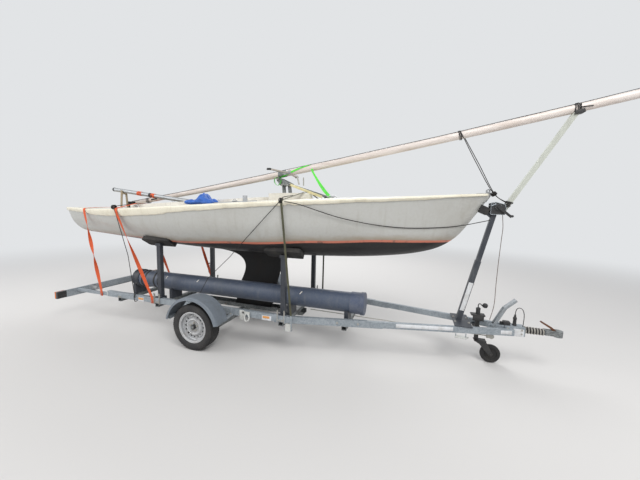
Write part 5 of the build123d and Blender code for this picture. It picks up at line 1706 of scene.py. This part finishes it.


# Winch: the wound belt, pale bars on its cheeks' edges that are partly painted highlight, its spring catch;
# the tape round the mast's cradle


def makeWinchTrim():
    bm = bmesh.new()
    outline = [(3.353, 1.764), (3.494, 1.764), (3.504, 1.838), (3.488, 1.880),
               (3.396, 1.902), (3.353, 1.888)]
    for side in (-1, 1):
        # pale bars along the cheeks' outline: partly painted highlight on the cheek edges
        path = [at(x, side * 0.0535, z) for x, z in outline + outline[:1]]
        for a, b in zip(path, path[1:]):
            roundBar(bm, [a, b], 0.0032, 8)
        addBlock(bm, at(3.378, side * 0.058, 1.872), (0.050, 0.010, 0.014), 0.002,
                 Matrix.Rotation(math.radians(-24), 4, "Y"))
        addTurned(bm, at(3.425, side * 0.053, 1.848), (0, side, 0),
                  [(-0.001, 0.0), (-0.001, 0.019), (0.006, 0.018), (0.007, 0.009), (0.016, 0.008),
                   (0.017, 0.0)], 20)
    teeth = []
    for a in angles(20):
        out = Vector((math.cos(a), 0, math.sin(a)))
        teeth.append((at(3.425, -0.0615, 1.848) + out * 0.031, out, Vector((0, 1, 0))))
    finishMesh("winchEdges", bm, steel, angle=40)
    placeCopies("winchTeeth", blockTree, teeth, oldSteel, Size=(0.010, 0.005, 0.006))
    bm = bmesh.new()
    addTurned(bm, at(3.425, 0, 1.866), (0, 1, 0),
              [(-0.036, 0.0), (-0.036, 0.021), (-0.026, 0.024), (0.026, 0.024), (0.036, 0.021),
               (0.036, 0.0)], 24)
    path = [at(3.425, 0, 1.890), at(3.40, 0, 1.886), at(3.36, 0, 1.868), at(3.338, 0, 1.858)]
    addRibbon(bm, smoothPath(path, 6), 0.048, 0.0025, (0, 1, 0))
    finishMesh("winchBelt", bm, webbing("greyWebbing", (126, 128, 126), (80, 76, 70)), angle=50)
    bm = bmesh.new()
    for k in range(2):
        x = 4.052 + 0.050 * k
        path = [offMast(x + 0.006 * math.sin(a * 2 + k), math.degrees(a), 0.0025) for a in angles(24, 1)]
        addRibbon(bm, path, 0.012, 0.0012, mastFrame(x)[1])
    finishMesh("cradleTape", bm, blackRope, angle=60)


makeWinchTrim()
print("winch trimmed")


# Trestle bars, pins and bolts, boom ends and the wraps that hold the boom


def makeTrestleTrim():
    bm = bmesh.new()
    addBlock(bm, at(1.105, -0.050, 2.026), (0.510, 0.012, 0.034), 0.003,
             Matrix.Rotation(math.radians(19.2), 4, "Y"))
    finishMesh("trestleBatten", bm,
               grimyPaint("paleTimber", (226, 216, 168), (150, 132, 96), 0.5, 0.2, 9.0, 0.6), angle=40)
    bm = bmesh.new()
    for x0, z0, x1, z1, y, r in ((0.982, 2.228, 1.012, 2.108, -0.045, 0.010),
                                 (1.047, 2.208, 1.050, 2.095, 0.030, 0.008)):
        roundBar(bm, [at(x0, y, z0), at(x1, y, z1)], r, 12)
    for x, z in ((0.72, 2.112), (0.80, 2.112), (0.88, 2.118)):
        roundBar(bm, [at(x, -0.070, z), at(x, 0.070, z)], 0.006, 8)
    finishMesh("trestlePins", bm, boltZinc, angle=40)
    rows = []
    for side in (-1, 1):
        for x, y, z in ((0.765, 0.0655, 2.098), (0.850, 0.0655, 2.098), (0.705, 0.0765, 2.177)):
            rows.append((at(x, side * y, z), Vector((0, side, 0)), Vector((1, 0, 0))))
    placeCopies("trestleBolts", boltTree, rows, boltZinc, Radius=0.009, Height=0.008)


def makeBoomTrim():
    bm = bmesh.new()
    startX, startZ, y, length, fall = -2.270, 2.028, -0.140, 2.33, 0.1155
    start, end = Vector((startX, y, startZ)), Vector((0.060, y, startZ - length * fall))
    way = (end - start).normalized()
    for place, aim in ((start, -way), (end, way)):
        addTurned(bm, at(*(place - aim * 0.024)), aim,
                  [(0.0, 0.0312), (0.0, 0.0325), (0.024, 0.0325), (0.030, 0.030), (0.032, 0.0)], 28)
        roundBar(bm, [at(*(place + aim * 0.030 + Vector((0, 0, 0.008)))),
                      at(*(place + aim * 0.052 + Vector((0, 0, 0.004)))),
                      at(*(place + aim * 0.030 + Vector((0, 0, -0.010))))], 0.004, 8)
    finishMesh("boomEnds", bm, blackPlastic, angle=40)
    bm = bmesh.new()
    for turn, x0, pitch in ((0, -1.740, 0.034), (1, -1.500, 0.030), (0, -1.455, 0.026)):
        for k in range(3):
            centre = start + way * ((x0 + pitch * k - startX) / way.x)
            turned = [Vector((0.006 * math.sin(a + k), 0.0335 * math.cos(a), 0.0335 * math.sin(a)))
                      for a in angles(24, 1)]
            loop = [at(*(centre + v)) for v in turned]
            addRibbon(bm, loop, 0.026, 0.0016, tuple(way), turn)
    finishMesh("boomWraps", bm, [orangeWebbing, blackRope], angle=60)
    bm = bmesh.new()
    for x in (-0.40, -1.05):  # bails under the boom
        z = startZ - (x - startX) * fall
        bail = [at(x + 0.022 * math.cos(a), y, z - 0.033 - 0.022 * math.sin(a))
                for a in (math.pi * i / 10 for i in range(11))]
        roundBar(bm, bail, 0.0035, 8)
    finishMesh("boomBails", bm, stainless, angle=60)


makeTrestleTrim()
makeBoomTrim()
print("trestle and boom trimmed")


# Deck gear: tracks with their cars, cleats, the traveller's car, hiking straps, the mast's collar


def makeDeckGear():
    bm = bmesh.new()
    for side in (-1, 1):
        for x, y in ((-1.45, 0.44), (-0.25, 0.62), (1.55, 0.30)):  # cleats with two horns
            base = at(x, side * y, deckHeight(x, y) + 0.004)
            addBlock(bm, base + Vector((0, 0, 0.006)), (0.050, 0.020, 0.016), 0.003)
            roundBar(bm, [base + Vector((dx, 0, 0.026 - 4.8 * dx * dx))
                          for dx in (-0.062, -0.045, -0.02, 0.02, 0.045, 0.062)], 0.0062, 8)
            roundBar(bm, [base + Vector((0, 0, 0.008)), base + Vector((0, 0, 0.024))], 0.009, 8)
        rows = []
        for x in (0.10 + 0.05 * i for i in range(13)):
            y = 0.66 - 0.03 * x
            rows.append([at(x, side * (y + dy), deckHeight(x, y) + dz)
                         for dy, dz in ((-0.013, -0.001), (-0.013, 0.004), (-0.006, 0.009), (0.006, 0.009),
                                        (0.013, 0.004), (0.013, -0.001))])
        addGrid(bm, rows)
        car = at(0.40, side * 0.648, deckHeight(0.40, 0.648) + 0.014)
        addBlock(bm, car, (0.060, 0.034, 0.014), 0.004)
        roundBar(bm, [car + Vector((0.020 * math.cos(a), 0, 0.004 + 0.020 * math.sin(a)))
                      for a in (math.pi * i / 8 for i in range(9))], 0.0035, 8)
    finishMesh("deckGear", bm, stainless, angle=45)
    bm = bmesh.new()
    z = deckHeight(1.42, 0) + 0.002
    addTurned(bm, at(1.42, 0, z), (0, 0, 1),
              [(0.0, 0.030), (0.0, 0.062), (0.010, 0.060), (0.022, 0.052), (0.024, 0.044), (0.004, 0.040),
               (0.002, 0.030)], 36, False)
    car = at(-0.56, 0.14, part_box("traveller_beam")[1].z)
    addBlock(bm, car + Vector((0, 0, 0.010)), (0.052, 0.070, 0.018), 0.004)
    sheave = [(0.0, 0.004), (0.0, 0.026), (0.009, 0.023), (0.015, 0.023), (0.024, 0.026), (0.024, 0.004)]
    addTurned(bm, car + Vector((-0.012, 0, 0.044)), (1, 0, 0), sheave, 24)
    finishMesh("mastCollar", bm, blackPlastic, angle=45)
    bm = bmesh.new()
    for side in (-1, 1):
        path = route([(0.60, side * 0.16, 1.440), (0.42, side * 0.16, 1.475),
                      (-0.1, side * 0.17, 1.458), (-0.7, side * 0.16, 1.455),
                      (-1.3, side * 0.14, 1.475), (-1.55, side * 0.13, 1.438)], 8)
        addRibbon(bm, path, 0.048, 0.003, (0, 1, 0))
    finishMesh("hikingStraps", bm, blackRope, angle=60)


makeDeckGear()
print("deck gear made")


# The crumpled blue cover on the side deck: a pressed, wrinkled bag

# cloth under its own pressure, each point held within the cap
def settle(piece, cap, pressure=4.0, frames=20):
    before = [v.co.copy() for v in piece.data.vertices]
    modifier = piece.modifiers.new("cloth", "CLOTH")
    modifier.settings.use_pressure = True
    modifier.settings.uniform_pressure_force = pressure
    modifier.settings.mass = 0.15
    modifier.settings.bending_stiffness = 0.3
    modifier.settings.effector_weights.gravity = 0.0
    modifier.point_cache.frame_start, modifier.point_cache.frame_end = 1, frames
    scene = bpy.context.scene
    for frame in range(1, frames + 1):
        scene.frame_set(frame)
    graph = bpy.context.evaluated_depsgraph_get()
    swollen = [v.co.copy() for v in piece.evaluated_get(graph).data.vertices]
    piece.modifiers.remove(modifier)
    for v, old, new in zip(piece.data.vertices, before, swollen):
        move = new - old
        v.co = old + move * min(1.0, cap / max(move.length, 1e-6))
    scene.frame_set(1)


def makeSailBag():
    low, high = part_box("sail_bag")
    source = bmesh.new()
    source.from_mesh(nodes["sail_bag"].data)
    bmesh.ops.transform(source, matrix=nodes["sail_bag"].matrix_world, verts=source.verts)
    bmesh.ops.remove_doubles(source, verts=source.verts, dist=0.0001)
    mesh = bpy.data.meshes.new("sailBag")
    source.to_mesh(mesh)
    source.free()
    piece = newObject("sailBag", mesh)
    remesh = piece.modifiers.new("voxels", "REMESH")
    remesh.voxel_size = 0.0055
    graph = bpy.context.evaluated_depsgraph_get()
    piece.data = bpy.data.meshes.new_from_object(piece.evaluated_get(graph))
    piece.modifiers.clear()
    centre, size = (Vector(low) + Vector(high)) / 2, Vector(high) - Vector(low)
    for v in piece.data.vertices:  # slumped ends and deep folds before the cloth settles
        p = Vector((v.co.x - centre.x, v.co.y - centre.y, (v.co.z - low[2]) / size.z))
        along, across = p.x / (size.x / 2), p.y / (size.y / 2)
        heap = 0.24 + 0.62 * math.exp(-((along - 0.20) / 0.20) ** 2)
        heap += 0.20 * math.exp(-((along - 0.62) / 0.24) ** 2)
        sink = 1 - min(1.0, heap * (1 - 0.25 * across * across))
        fold = 0.5 * math.sin(along * 13 + across * 5 + 2 * math.sin(across * 4))
        fold += 0.5 * noise.noise(Vector((along * 3, across * 3, p.z * 2)))
        v.co.z = low[2] + p.z * size.z * (1 - sink * 0.95) + 0.012 * fold * p.z
        v.co.y -= 0.012 * noise.noise(Vector((along * 4, across * 2, p.z * 3 + 7))) * p.z
    settle(piece, 0.009)
    smooth = piece.modifiers.new("finer", "SUBSURF")
    smooth.levels = smooth.render_levels = 1
    for polygon in piece.data.polygons:
        polygon.use_smooth = True
    piece.data.materials.clear()
    piece.data.materials.append(makeBlueCover())
    declare(piece, replaces=("sail_bag",))


def makeBlueCover():
    f = Finish("blueCover")
    grime = f.grime(srgb(42, 98, 186), srgb(40, 60, 96), 0.5, 0.1, 8.0, 0.5)
    creases = f.t.plus(f.t.noise(f.place, 26, 5, 0.6), f.t.times(f.t.noise(f.place, 400, 2, 0.5), 0.15))
    return f.done(grime["Color"], grime["Roughness"], creases, 0.006, 0.7)


makeSailBag()
print("cover made")
